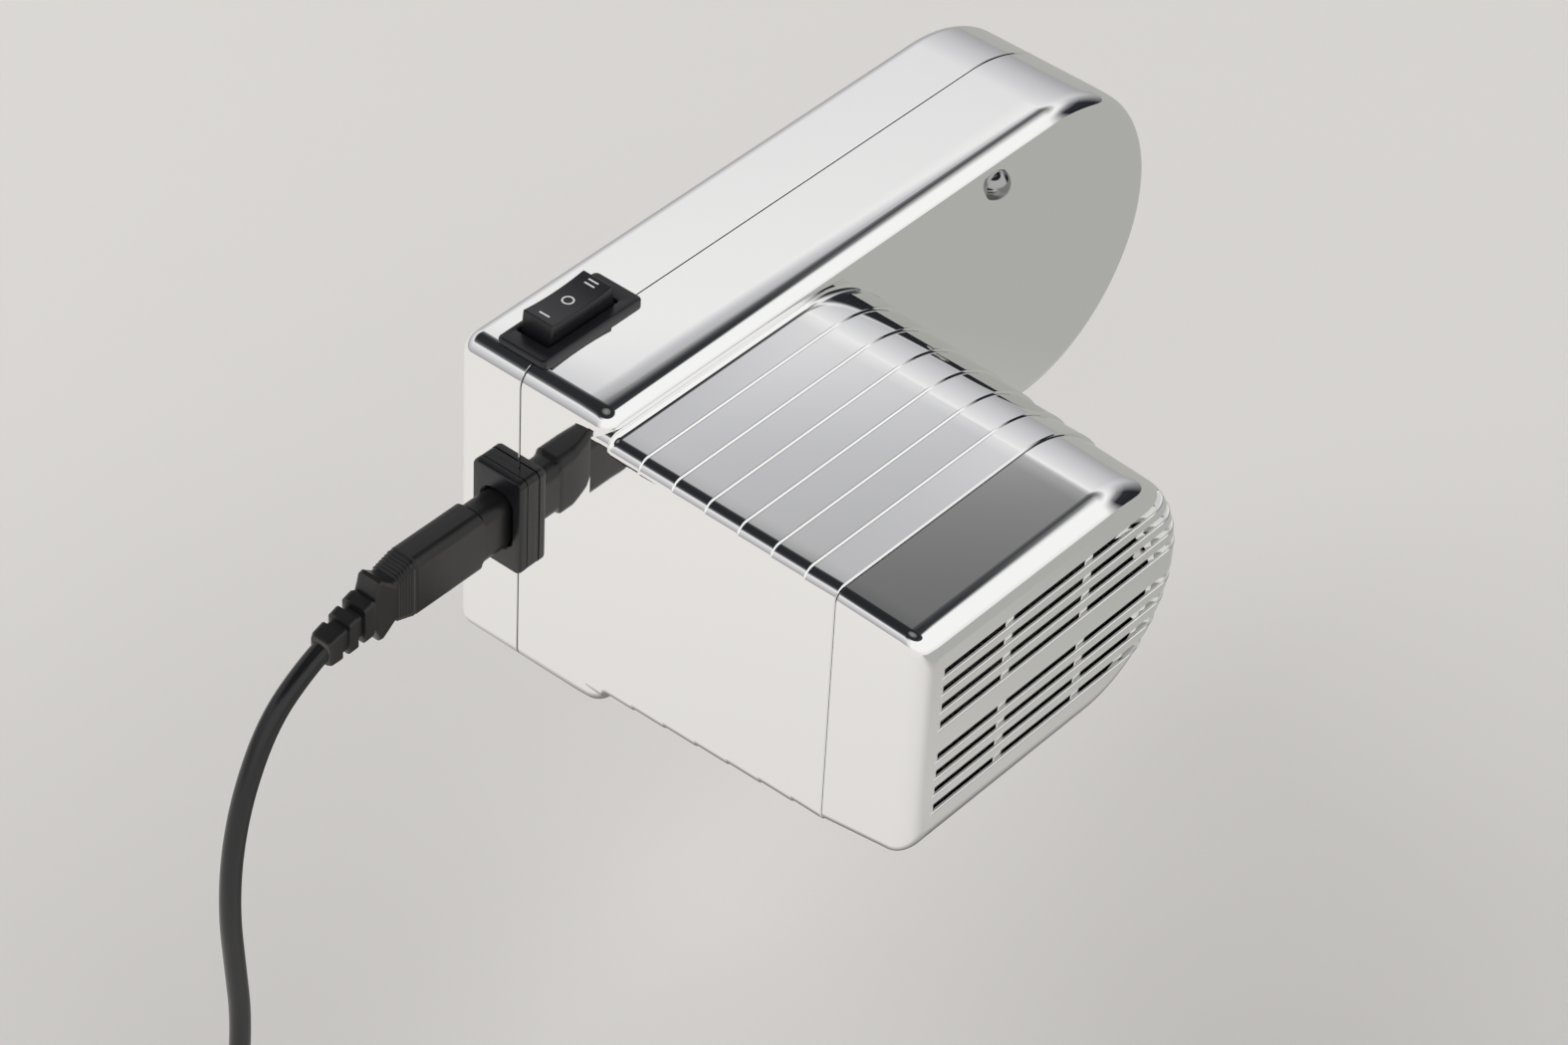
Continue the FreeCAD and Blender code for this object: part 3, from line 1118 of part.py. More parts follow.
def coil_centre():
    """The middle of the coil, on the bottom layer."""
    end_y, end_z = CORD_POINTS[-1]
    return Vector(CORD_X + COIL_RADIUS, end_y - COIL_LEAD, end_z)


def coil_reversal():
    """The turns after which the spiral turns back, in the middle of its climb."""
    return COIL_TURNS_IN + COIL_CLIMB_TURNS / 2


def coil_inner_radius():
    """The radius where the spiral turns back."""
    return COIL_RADIUS - COIL_PITCH * coil_reversal()


def coil_point(turns):
    """A point of the coil: in along the bottom layer, a climb, and out along the top layer."""
    climbed = min(max(turns - COIL_TURNS_IN, 0.0) / COIL_CLIMB_TURNS, 1.0)
    radius = coil_inner_radius() + COIL_PITCH * abs(turns - coil_reversal())
    angle = math.pi + 2 * math.pi * turns
    rise = COIL_PITCH * (1 - math.cos(math.pi * climbed)) / 2
    return coil_centre() + Vector(radius * math.cos(angle), radius * math.sin(angle), rise)


def coil_heading(turns):
    """The direction of the coil at a point, without its small change of radius."""
    climbed = (turns - COIL_TURNS_IN) / COIL_CLIMB_TURNS
    angle = math.pi + 2 * math.pi * turns
    slope = 0.0
    if 0 < climbed < 1:
        slope = COIL_PITCH * math.sin(math.pi * climbed) / (4 * COIL_CLIMB_TURNS * coil_inner_radius())
    return Vector(-math.sin(angle), math.cos(angle), slope).normalize()


def biarc(start, start_way, end, end_way):
    """Two tangent arcs from one point and direction to another."""
    span = end - start
    ways = start_way + end_way
    quadratic = 2 * (start_way.dot(end_way) - 1)
    linear = -2 * span.dot(ways)
    root = math.sqrt(linear ** 2 - 4 * quadratic * span.dot(span))
    reach = (-linear - root) / (2 * quadratic)
    first = start + start_way * reach
    second = end - end_way * reach
    joint = (first + second) * 0.5
    return [bend(start, first, joint), bend(joint, second, end)]


def coil_gap():
    """The least gap of the coil to itself, measured on points half a turn apart and more."""
    points = [coil_point(number / GAP_STEPS) for number in range(int(coil_turns() * GAP_STEPS) + 1)]
    least = min((a - b).Length for i, a in enumerate(points) for b in points[i + GAP_STEPS // 2:])
    return least - 2 * CORD_RADIUS


def make_cord_coil():
    """The rest of the lead, put away in a flat coil of two layers, with a straight end into the plug."""
    total = coil_turns()
    start = Vector(CORD_X, *CORD_POINTS[-1])
    edges = [Part.LineSegment(start, coil_point(0)).toShape()]
    for quarter in range(round(total * QUARTERS)):
        turns = quarter / QUARTERS
        after = (quarter + 1) / QUARTERS
        edges += biarc(coil_point(turns), coil_heading(turns), coil_point(after), coil_heading(after))
    last = coil_point(total)
    edges.append(Part.LineSegment(last, last + coil_heading(total) * COIL_LEAD_OUT).toShape())
    print("least gap of the coil to itself", round(coil_gap(), 2))
    return swept(edges)


def make_cord_tie():
    """The band round the bundle of the coil."""
    inner = coil_inner_radius() - CORD_RADIUS - BODY_GAP
    outer = coil_inner_radius() + COIL_PITCH * (coil_turns() - coil_reversal()) + CORD_RADIUS + BODY_GAP
    low = -CORD_RADIUS - BODY_GAP
    high = COIL_PITCH + CORD_RADIUS + BODY_GAP
    along = Vector(0, 1, 0)
    half = TIE_WIDTH / 2
    band = rounded_block(inner - TIE_THICKNESS, outer + TIE_THICKNESS, -half, half, low - TIE_THICKNESS,
                         high + TIE_THICKNESS, TIE_ROUND, along)
    band = band.cut(rounded_block(inner, outer, -half, half, low, high, TIE_ROUND - TIE_THICKNESS, along))
    band.rotate(Vector(), Vector(0, 0, 1), TIE_ANGLE)
    band.translate(coil_centre())
    return band


def plug_start():
    """The middle of the plug's rear face, with the plug lying on the level that the coil lies on."""
    total = coil_turns()
    end = coil_point(total) + coil_heading(total) * COIL_LEAD_OUT
    rest_z = coil_centre().z - CORD_RADIUS - BODY_GAP - TIE_THICKNESS
    return Vector(end.x, end.y, rest_z + PLUG_HEIGHT / 2)


def make_mains_plug():
    """The flat two-pole mains plug."""
    start = plug_start()
    half = (
        (0.0, PLUG_REAR_WIDTH / 2), (PLUG_REAR_LENGTH, PLUG_SHOULDER_WIDTH / 2), (PLUG_SHOULDER, PLUG_WIDTH / 2),
        (PLUG_LENGTH, PLUG_WIDTH / 2),
    )
    outline = list(half) + [(x, -y) for x, y in reversed(half)]
    low = start.z - PLUG_HEIGHT / 2
    face = Part.Face(loop([Vector(start.x + x, start.y + y, low) for x, y in outline]))
    body = face.extrude(Vector(0, 0, PLUG_HEIGHT))
    upright = [e for e in body.Edges if abs(e.Vertexes[0].Z - e.Vertexes[-1].Z) > TOUCH]
    body = body.makeFillet(PLUG_ROUND, upright)
    front_x = start.x + PLUG_LENGTH
    for y in plug_pin_places():
        body = body.cut(rod(PLUG_PIN_RADIUS + SEAT_GAP, front_x - PLUG_PIN_ROOT, front_x, y, start.z))
    return body


def plug_pin_places():
    """The two lines of the plug's pins."""
    return (plug_start().y - PLUG_PIN_PITCH / 2, plug_start().y + PLUG_PIN_PITCH / 2)


def make_mains_plug_pins():
    """The two pins of the mains plug, with rounded tips."""
    front_x = plug_start().x + PLUG_LENGTH
    pins = []
    for y in plug_pin_places():
        pin = rod(PLUG_PIN_RADIUS, front_x - PLUG_PIN_ROOT, front_x + PLUG_PIN_LENGTH, y, plug_start().z)
        pins.append(pin.makeFillet(PLUG_PIN_RADIUS / 2, edges_at(pin, front_x + PLUG_PIN_LENGTH)))
    return Part.makeCompound(pins)


PIECES = {
    "gear_cover": make_gear_cover, "main_housing": make_main_housing, "end_cap": make_end_cap,
    "anchor_bolt": make_anchor_bolt, "locating_pin": make_locating_pin, "cover_screws": make_cover_screws,
    "switch_body": make_switch_body, "switch_rocker": make_switch_rocker, "switch_terminals": make_switch_terminals,
    "inlet_frame": make_inlet_frame, "inlet_socket": make_inlet_socket, "inlet_pins": make_inlet_pins,
    "suppressor_capacitor": make_suppressor_capacitor,
    "stator_core": make_stator_core, "field_coils": make_field_coils, "brush_holders": make_brush_holders,
    "carbon_brushes": make_carbon_brushes, "front_bracket": make_front_bracket, "rear_bracket": make_rear_bracket,
    "front_bush": make_front_bush, "rear_bush": make_rear_bush, "motor_screws": make_motor_screws,
    "gear_a_pin": make_gear_a_pin, "gear_b_pin": make_gear_b_pin,
    "output_bush_inner": make_output_bush_inner, "output_bush_outer": make_output_bush_outer,
    "motor_shaft": make_motor_shaft, "armature_core": make_armature_core,
    "armature_windings": make_armature_windings, "commutator": make_commutator, "cooling_fan": make_cooling_fan,
    "motor_pinion": make_motor_pinion, "gear_a": make_gear_a, "gear_b": make_gear_b,
    "output_gear": make_output_gear, "output_shaft": make_output_shaft, "drive_key": make_drive_key,
    "retaining_ring": make_retaining_ring,
    "lead_connector": make_lead_connector, "cord_run": make_cord_run, "cord_coil": make_cord_coil,
    "cord_tie": make_cord_tie, "mains_plug": make_mains_plug, "mains_plug_pins": make_mains_plug_pins,
}

os.makedirs("parts", exist_ok=True)
for name, make in PIECES.items():
    make().exportStep(os.path.join("parts", name + ".step"))
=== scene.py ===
import json
import logging
import math
from collections.abc import Sequence
from dataclasses import dataclass, field
from enum import Enum

import bpy
from mathutils import Matrix, Vector


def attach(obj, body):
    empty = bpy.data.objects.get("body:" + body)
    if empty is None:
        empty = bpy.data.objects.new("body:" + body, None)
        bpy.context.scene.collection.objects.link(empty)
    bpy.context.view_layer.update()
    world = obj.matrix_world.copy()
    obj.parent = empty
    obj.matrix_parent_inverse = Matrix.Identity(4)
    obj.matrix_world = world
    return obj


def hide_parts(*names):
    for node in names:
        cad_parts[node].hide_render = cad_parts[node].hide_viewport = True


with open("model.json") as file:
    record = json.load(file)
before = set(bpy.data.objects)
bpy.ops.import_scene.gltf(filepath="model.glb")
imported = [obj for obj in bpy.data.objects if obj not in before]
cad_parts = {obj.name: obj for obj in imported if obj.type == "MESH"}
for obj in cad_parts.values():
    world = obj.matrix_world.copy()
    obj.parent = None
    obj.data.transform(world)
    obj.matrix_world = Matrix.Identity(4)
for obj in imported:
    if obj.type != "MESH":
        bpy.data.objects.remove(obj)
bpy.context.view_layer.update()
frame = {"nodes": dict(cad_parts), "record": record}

LOG = logging.getLogger("motor_drive")
MM = 0.001
Flat = tuple[float, float]
Point = tuple[float, float, float]
Ring = list[Point]
Stops = tuple[tuple[float, str], ...]

# Places of the object in millimetres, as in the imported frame
BACK_X = 0.5
SEAM_X = 20.0
FACE_X = 46.5
CAP_X = 113.6
END_X = 138.9
INLET_Y = -160.25
END_RADIUS = 44.25
FLOOR_Z = -154.5

# Steps along the case's outline
CORNER_STEPS = 10
SIDE_STEPS = 16
ROUND_STEPS = 72
LEFT_STEPS = 12

# Sockets of a colour mix, which share their names with those of other mixes
MIX_SHARE, MIX_FIRST, MIX_SECOND, MIX_COLOUR = 0, 6, 7, 2


class Body(str, Enum):
    """The moving bodies that pieces ride on."""

    HOUSING = "housing"
    SWITCH = "switch"
    LEAD = "lead"


def linear(code: str) -> tuple[float, float, float, float]:
    """Turn an sRGB hex colour into linear light.

    Args:
        code: six hex digits after a hash sign.

    Returns:
        Red, green, blue and an alpha of one.
    """
    parts = [int(code[i:i + 2], 16) / 255 for i in (1, 3, 5)]
    light = [c / 12.92 if c <= 0.04045 else ((c + 0.055) / 1.055) ** 2.4 for c in parts]
    return (light[0], light[1], light[2], 1.0)


@dataclass(frozen=True)
class Finish:
    """How a surface is made and looks."""

    name: str
    colour: str
    metallic: float
    roughness: float
    rough_spread: float
    grain_mm: float
    bump: float
    stretch: Point = (1.0, 1.0, 1.0)
    colour_spread: float = 0.06


def set_stops(ramp: bpy.types.ColorRamp, stops: Stops) -> None:
    """Give a colour ramp its stops.

    Args:
        ramp: the ramp.
        stops: places from zero to one with their colours.
    """
    while len(ramp.elements) < len(stops):
        ramp.elements.new(0.5)
    for element, (place, code) in zip(ramp.elements, stops):
        element.position = place
        element.color = linear(code)


def add_node(tree: bpy.types.NodeTree, kind: str, settings: dict, links: dict) -> bpy.types.Node:
    """Add a shader node with settings and incoming links.

    Args:
        tree: the node tree.
        kind: the node's type name.
        settings: attributes, sockets with their values, or the stops of a ramp.
        links: sockets with the output sockets that feed them.

    Returns:
        The new node.
    """
    node = tree.nodes.new(kind)
    for key, value in settings.items():
        if key == "stops":
            set_stops(node.color_ramp, value)
        elif isinstance(key, int) or key in node.inputs:
            node.inputs[key].default_value = value
        else:
            setattr(node, key, value)
    for key, output in links.items():
        tree.links.new(output, node.inputs[key])
    return node


def make_material(finish: Finish, grains_per_cloud: float = 25.0,
                  relief_mm: float = 0.02) -> bpy.types.Material:
    """Build a material from a finish: grain in the bump, and soft change in roughness and colour.

    Args:
        finish: the finish to build.
        grains_per_cloud: how much wider the soft change is than the grain.
        relief_mm: height of the grain at full strength.

    Returns:
        The material.
    """
    material = bpy.data.materials.new(finish.name)
    material.use_nodes = True
    tree = material.node_tree
    shader = tree.nodes["Principled BSDF"]
    place = add_node(tree, "ShaderNodeTexCoord", {}, {})
    scaled = add_node(tree, "ShaderNodeMapping", {"Scale": finish.stretch},
                      {"Vector": place.outputs["Object"]})
    along = {"Vector": scaled.outputs["Vector"]}
    scale = 1.0 / (finish.grain_mm * MM)
    grain = add_node(tree, "ShaderNodeTexNoise", {"Scale": scale, "Detail": 3.0}, along)
    cloud = add_node(tree, "ShaderNodeTexNoise", {"Scale": scale / grains_per_cloud, "Detail": 2.0}, along)
    rough = add_node(tree, "ShaderNodeMapRange",
                     {"To Min": max(finish.roughness - finish.rough_spread, 0.0),
                      "To Max": finish.roughness + finish.rough_spread},
                     {"Value": cloud.outputs["Fac"]})
    colour = linear(finish.colour)
    dark = tuple(c * (1 - finish.colour_spread) for c in colour[:3]) + (1.0,)
    tint = add_node(tree, "ShaderNodeMix", {"data_type": "RGBA", MIX_FIRST: dark, MIX_SECOND: colour},
                    {MIX_SHARE: cloud.outputs["Fac"]})
    raised = add_node(tree, "ShaderNodeBump", {"Strength": finish.bump, "Distance": relief_mm * MM},
                      {"Height": grain.outputs["Fac"]})
    shader.inputs["Metallic"].default_value = finish.metallic
    tree.links.new(tint.outputs[MIX_COLOUR], shader.inputs["Base Color"])
    tree.links.new(rough.outputs["Result"], shader.inputs["Roughness"])
    tree.links.new(raised.outputs["Normal"], shader.inputs["Normal"])
    return material


class Finishes(Enum):
    """The finishes of the object."""

    # Bright chrome plate on moulded plastic: a clear mirror with faint handling haze
    CHROME = Finish("chrome_plated_moulding", "#F4F4F3", metallic=1.0, roughness=0.035,
                    rough_spread=0.012, grain_mm=9.0, bump=0.015, colour_spread=0.02)
    # Nickel-plated steel head: a mirror that is greyer and duller than the case
    BOLT_HEAD = Finish("nickel_plated_bolt", "#A8A8A8", metallic=1.0, roughness=0.1,
                       rough_spread=0.03, grain_mm=0.8, bump=0.05)
    # Turned steel: grey, with fine lathe marks
    STEEL = Finish("turned_steel", "#9B9C9E", metallic=1.0, roughness=0.28,
                   rough_spread=0.06, grain_mm=0.5, bump=0.12, stretch=(6.0, 1.0, 1.0))
    # Moulded switch and inlet plastic: satin black with spark-eroded grain
    BLACK_PLASTIC = Finish("satin_black_moulding", "#17171A", metallic=0.0, roughness=0.30,
                           rough_spread=0.05, grain_mm=0.35, bump=0.35)
    # Softer moulding compound of the connector and plug: a little duller than the switch
    PLUG_PLASTIC = Finish("soft_black_moulding", "#191818", metallic=0.0, roughness=0.34,
                          rough_spread=0.07, grain_mm=0.5, bump=0.3)
    # Extruded lead sheath: smooth black with a long soft gloss
    SHEATH = Finish("black_pvc_sheath", "#161618", metallic=0.0, roughness=0.26,
                    rough_spread=0.05, grain_mm=1.2, bump=0.12)
    # Pad-printed marks on the rocker: flat off-white ink
    PRINT = Finish("white_pad_print", "#D8D8D6", metallic=0.0, roughness=0.5,
                   rough_spread=0.05, grain_mm=0.3, bump=0.2)
    # Natural nylon gears and fan: waxy ivory
    NYLON = Finish("natural_nylon", "#DCD8C8", metallic=0.0, roughness=0.45,
                   rough_spread=0.05, grain_mm=0.8, bump=0.2)
    # Sintered bronze bushes: brown metal with open pores
    BRONZE = Finish("sintered_bronze", "#A67C48", metallic=1.0, roughness=0.45,
                    rough_spread=0.08, grain_mm=0.25, bump=0.5)
    # Enamelled copper windings: red-brown metal, ridged by the wires
    COPPER = Finish("enamelled_copper", "#B4623A", metallic=1.0, roughness=0.3,
                    rough_spread=0.06, grain_mm=0.4, bump=0.6, stretch=(1.0, 1.0, 6.0))
    # Pressed carbon brushes: dull black
    CARBON = Finish("pressed_carbon", "#202022", metallic=0.0, roughness=0.6,
                    rough_spread=0.08, grain_mm=0.2, bump=0.4)
    # Stacked electrical sheet: dark metal with its edges across the shaft
    LAMINATION = Finish("stacked_lamination", "#5A5B60", metallic=1.0, roughness=0.42,
                        rough_spread=0.06, grain_mm=0.5, bump=0.6, stretch=(8.0, 0.2, 0.2))
    # Die-cast zinc: pale grey with a cast skin
    ZINC = Finish("die_cast_zinc", "#A2A3A4", metallic=1.0, roughness=0.4,
                  rough_spread=0.08, grain_mm=0.7, bump=0.35)
    # Nickel plate on brass pins: warm and bright
    NICKEL = Finish("nickel_plated_brass", "#CFC9B8", metallic=1.0, roughness=0.2,
                    rough_spread=0.05, grain_mm=0.6, bump=0.08)
    # Moulded resin case of the capacitor: satin yellow
    RESIN = Finish("moulded_resin", "#C9A427", metallic=0.0, roughness=0.35,
                   rough_spread=0.05, grain_mm=0.6, bump=0.2)


SLOT_FINISH: dict[str, Finishes] = {
    "chrome_plate": Finishes.CHROME,
    "steel": Finishes.STEEL,
    "sintered_bronze": Finishes.BRONZE,
    "copper": Finishes.COPPER,
    "black_plastic": Finishes.BLACK_PLASTIC,
    "black_cord": Finishes.SHEATH,
    "nylon": Finishes.NYLON,
    "carbon": Finishes.CARBON,
    "lamination": Finishes.LAMINATION,
    "zinc": Finishes.ZINC,
    "brass_pin": Finishes.NICKEL,
    "capacitor_resin": Finishes.RESIN,
}


@dataclass
class Palette:
    """Materials made once and shared."""

    made: dict[Finishes, bpy.types.Material] = field(default_factory=dict)

    def get(self, finish: Finishes) -> bpy.types.Material:
        """Return the material of a finish, made on first use.

        Args:
            finish: which finish.

        Returns:
            The material.
        """
        if finish not in self.made:
            self.made[finish] = make_material(finish.value)
        return self.made[finish]


PALETTE = Palette()


def mesh_object(name: str, points: Sequence[Point], faces: Sequence[Sequence[int]],
                finish: Finishes) -> bpy.types.Object:
    """Make a mesh from millimetre points.

    Args:
        name: the piece's name.
        points: corner points in millimetres.
        faces: corner numbers of each face.
        finish: the surface's finish.

    Returns:
        The linked object.
    """
    mesh = bpy.data.meshes.new(name)
    mesh.from_pydata([(x * MM, y * MM, z * MM) for x, y, z in points], [], faces)
    mesh.materials.append(PALETTE.get(finish))
    mesh.validate()
    piece = bpy.data.objects.new(name, mesh)
    bpy.context.scene.collection.objects.link(piece)
    return piece


def settle(piece: bpy.types.Object) -> None:
    """Apply a piece's modifiers to its mesh.

    Args:
        piece: the piece.
    """
    graph = bpy.context.evaluated_depsgraph_get()
    mesh = bpy.data.meshes.new_from_object(piece.evaluated_get(graph))
    piece.modifiers.clear()
    piece.data = mesh


def smooth(piece: bpy.types.Object, bevel_mm: float = 0.0, angle_deg: float = 32.0) -> bpy.types.Object:
    """Round a piece's hard edges and give it smooth, face-weighted normals.

    Args:
        piece: the piece.
        bevel_mm: width of the rounding, or zero for none.
        angle_deg: edges sharper than this are hard.

    Returns:
        The same piece.
    """
    if bevel_mm:
        bevel = piece.modifiers.new("bevel", "BEVEL")
        bevel.width = bevel_mm * MM
        bevel.segments = 3
        bevel.limit_method = "ANGLE"
        bevel.angle_limit = math.radians(angle_deg)
        bevel.use_clamp_overlap = True
        settle(piece)
    piece.data.shade_smooth()
    if not bevel_mm:
        piece.data.set_sharp_from_angle(angle=math.radians(angle_deg))
    weights = piece.modifiers.new("weights", "WEIGHTED_NORMAL")
    weights.keep_sharp = True
    weights.weight = 100
    settle(piece)
    return piece


def arc(y: float, z: float, radius: float, start: float, end: float, count: int) -> list[Flat]:
    """Points of an arc without its last one.

    Args:
        y: centre.
        z: centre.
        radius: radius.
        start: first angle in degrees.
        end: last angle in degrees.
        count: number of steps.

    Returns:
        The points.
    """
    angles = [math.radians(start + (end - start) * n / count) for n in range(count)]
    return [(y + radius * math.cos(a), z + radius * math.sin(a)) for a in angles]


def full_turn(count: int) -> list[Flat]:
    """Even steps round a circle of radius one.

    Args:
        count: number of steps.

    Returns:
        The points.
    """
    return arc(0.0, 0.0, 1.0, 0.0, 360.0, count)


def line(start: Flat, end: Flat, count: int) -> list[Flat]:
    """Points of a straight line without its last one.

    Args:
        start: first point.
        end: last point.
        count: number of steps.

    Returns:
        The points.
    """
    run_y, run_z = end[0] - start[0], end[1] - start[1]
    return [(start[0] + run_y * n / count, start[1] + run_z * n / count) for n in range(count)]


def quarter(count: int) -> list[Flat]:
    """Steps of a rounded edge.

    Args:
        count: number of steps.

    Returns:
        Pairs of shares: how far along, and how far drawn in.
    """
    angles = [math.pi / 2 * n / count for n in range(count + 1)]
    return [(math.sin(a), 1 - math.cos(a)) for a in angles]


def rounded_rectangle(width: float, height: float, corner: float, steps: int = 6) -> list[Flat]:
    """Points of a rounded rectangle about its middle.

    Args:
        width: full width.
        height: full height.
        corner: corner radius.
        steps: steps in each corner.

    Returns:
        The points.
    """
    corner = min(corner, width / 2 - 0.01, height / 2 - 0.01)
    half_w, half_h = width / 2 - corner, height / 2 - corner
    trail: list[Flat] = []
    for sx, sy, start in ((1, 1, 0), (-1, 1, 90), (-1, -1, 180), (1, -1, 270)):
        for n in range(steps + 1):
            a = math.radians(start + 90 * n / steps)
            trail.append((sx * half_w + corner * math.cos(a), sy * half_h + corner * math.sin(a)))
    return trail


@dataclass(frozen=True)
class Outline:
    """The case's outline across X: two rounded corners on the left and a half circle on the right."""

    left: float
    right: float
    top: float
    bottom: float
    corner: float

    def points(self) -> list[Flat]:
        """List the outline's points, always the same number in the same order.

        Returns:
            Points across X, turning so that a loft towards the cap faces outwards.
        """
        radius = (self.top - self.bottom) / 2
        middle_y, middle_z = self.right - radius, (self.top + self.bottom) / 2
        corner = self.corner
        trail = arc(self.left + corner, self.top - corner, corner, 180, 90, CORNER_STEPS)
        trail += line((self.left + corner, self.top), (middle_y, self.top), SIDE_STEPS)
        trail += arc(middle_y, middle_z, radius, 90, -90, ROUND_STEPS)
        trail += line((middle_y, self.bottom), (self.left + corner, self.bottom), SIDE_STEPS)
        trail += arc(self.left + corner, self.bottom + corner, corner, -90, -180, CORNER_STEPS)
        trail += line((self.left, self.bottom + corner), (self.left, self.top - corner), LEFT_STEPS)
        return trail[::-1]

    def drawn_in(self, inset: float, least_corner: float = 0.35) -> "Outline":
        """Draw the outline in.

        Args:
            inset: by how much all round.
            least_corner: the smallest corner that is left.

        Returns:
            The new outline.
        """
        return Outline(self.left + inset, self.right - inset, self.top - inset, self.bottom + inset,
                       max(self.corner - inset, least_corner))


def across_x(x: float, outline: Outline) -> Ring:
    """Stand an outline up across X.

    Args:
        x: where.
        outline: the outline.

    Returns:
        Its points in space.
    """
    return [(x, y, z) for y, z in outline.points()]


def loft(name: str, rings: Sequence[Ring], finish: Finishes, joined: bool = False) -> bpy.types.Object:
    """Skin rings of equal length and close both ends, or join the last ring to the first.

    Args:
        name: the piece's name.
        rings: closed rings of points.
        finish: the surface's finish.
        joined: join the last ring to the first.

    Returns:
        The piece.
    """
    count = len(rings[0])
    points = [p for ring in rings for p in ring]
    faces: list[list[int]] = []
    for row in range(len(rings) if joined else len(rings) - 1):
        here, there = row * count, (row + 1) % len(rings) * count
        for n in range(count):
            after = (n + 1) % count
            faces.append([here + n, here + after, there + after, there + n])
    if not joined:
        faces.append(list(range(count))[::-1])
        faces.append([(len(rings) - 1) * count + n for n in range(count)])
    return mesh_object(name, points, faces, finish)


def cut_away(piece: bpy.types.Object, cutter: bpy.types.Object) -> None:
    """Cut one mesh out of another and drop the cutter.

    Args:
        piece: what is cut.
        cutter: what is removed from it.
    """
    tool = piece.modifiers.new("cut", "BOOLEAN")
    tool.operation = "DIFFERENCE"
    tool.solver = "EXACT"
    tool.object = cutter
    settle(piece)
    bpy.data.objects.remove(cutter)


def carry(piece: bpy.types.Object, body: Body, slot: str, *nodes: str) -> bpy.types.Object:
    """Put a piece on its body, in place of its CAD nodes, and report it.

    Args:
        piece: the piece.
        body: the body it rides on.
        slot: the record's material slot; not used.
        nodes: the nodes that it stands for.

    Returns:
        The piece.
    """
    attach(piece, body.value)
    if nodes:
        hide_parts(*nodes)
    LOG.info("%s rides on %s", piece.name, body.value)
    return piece


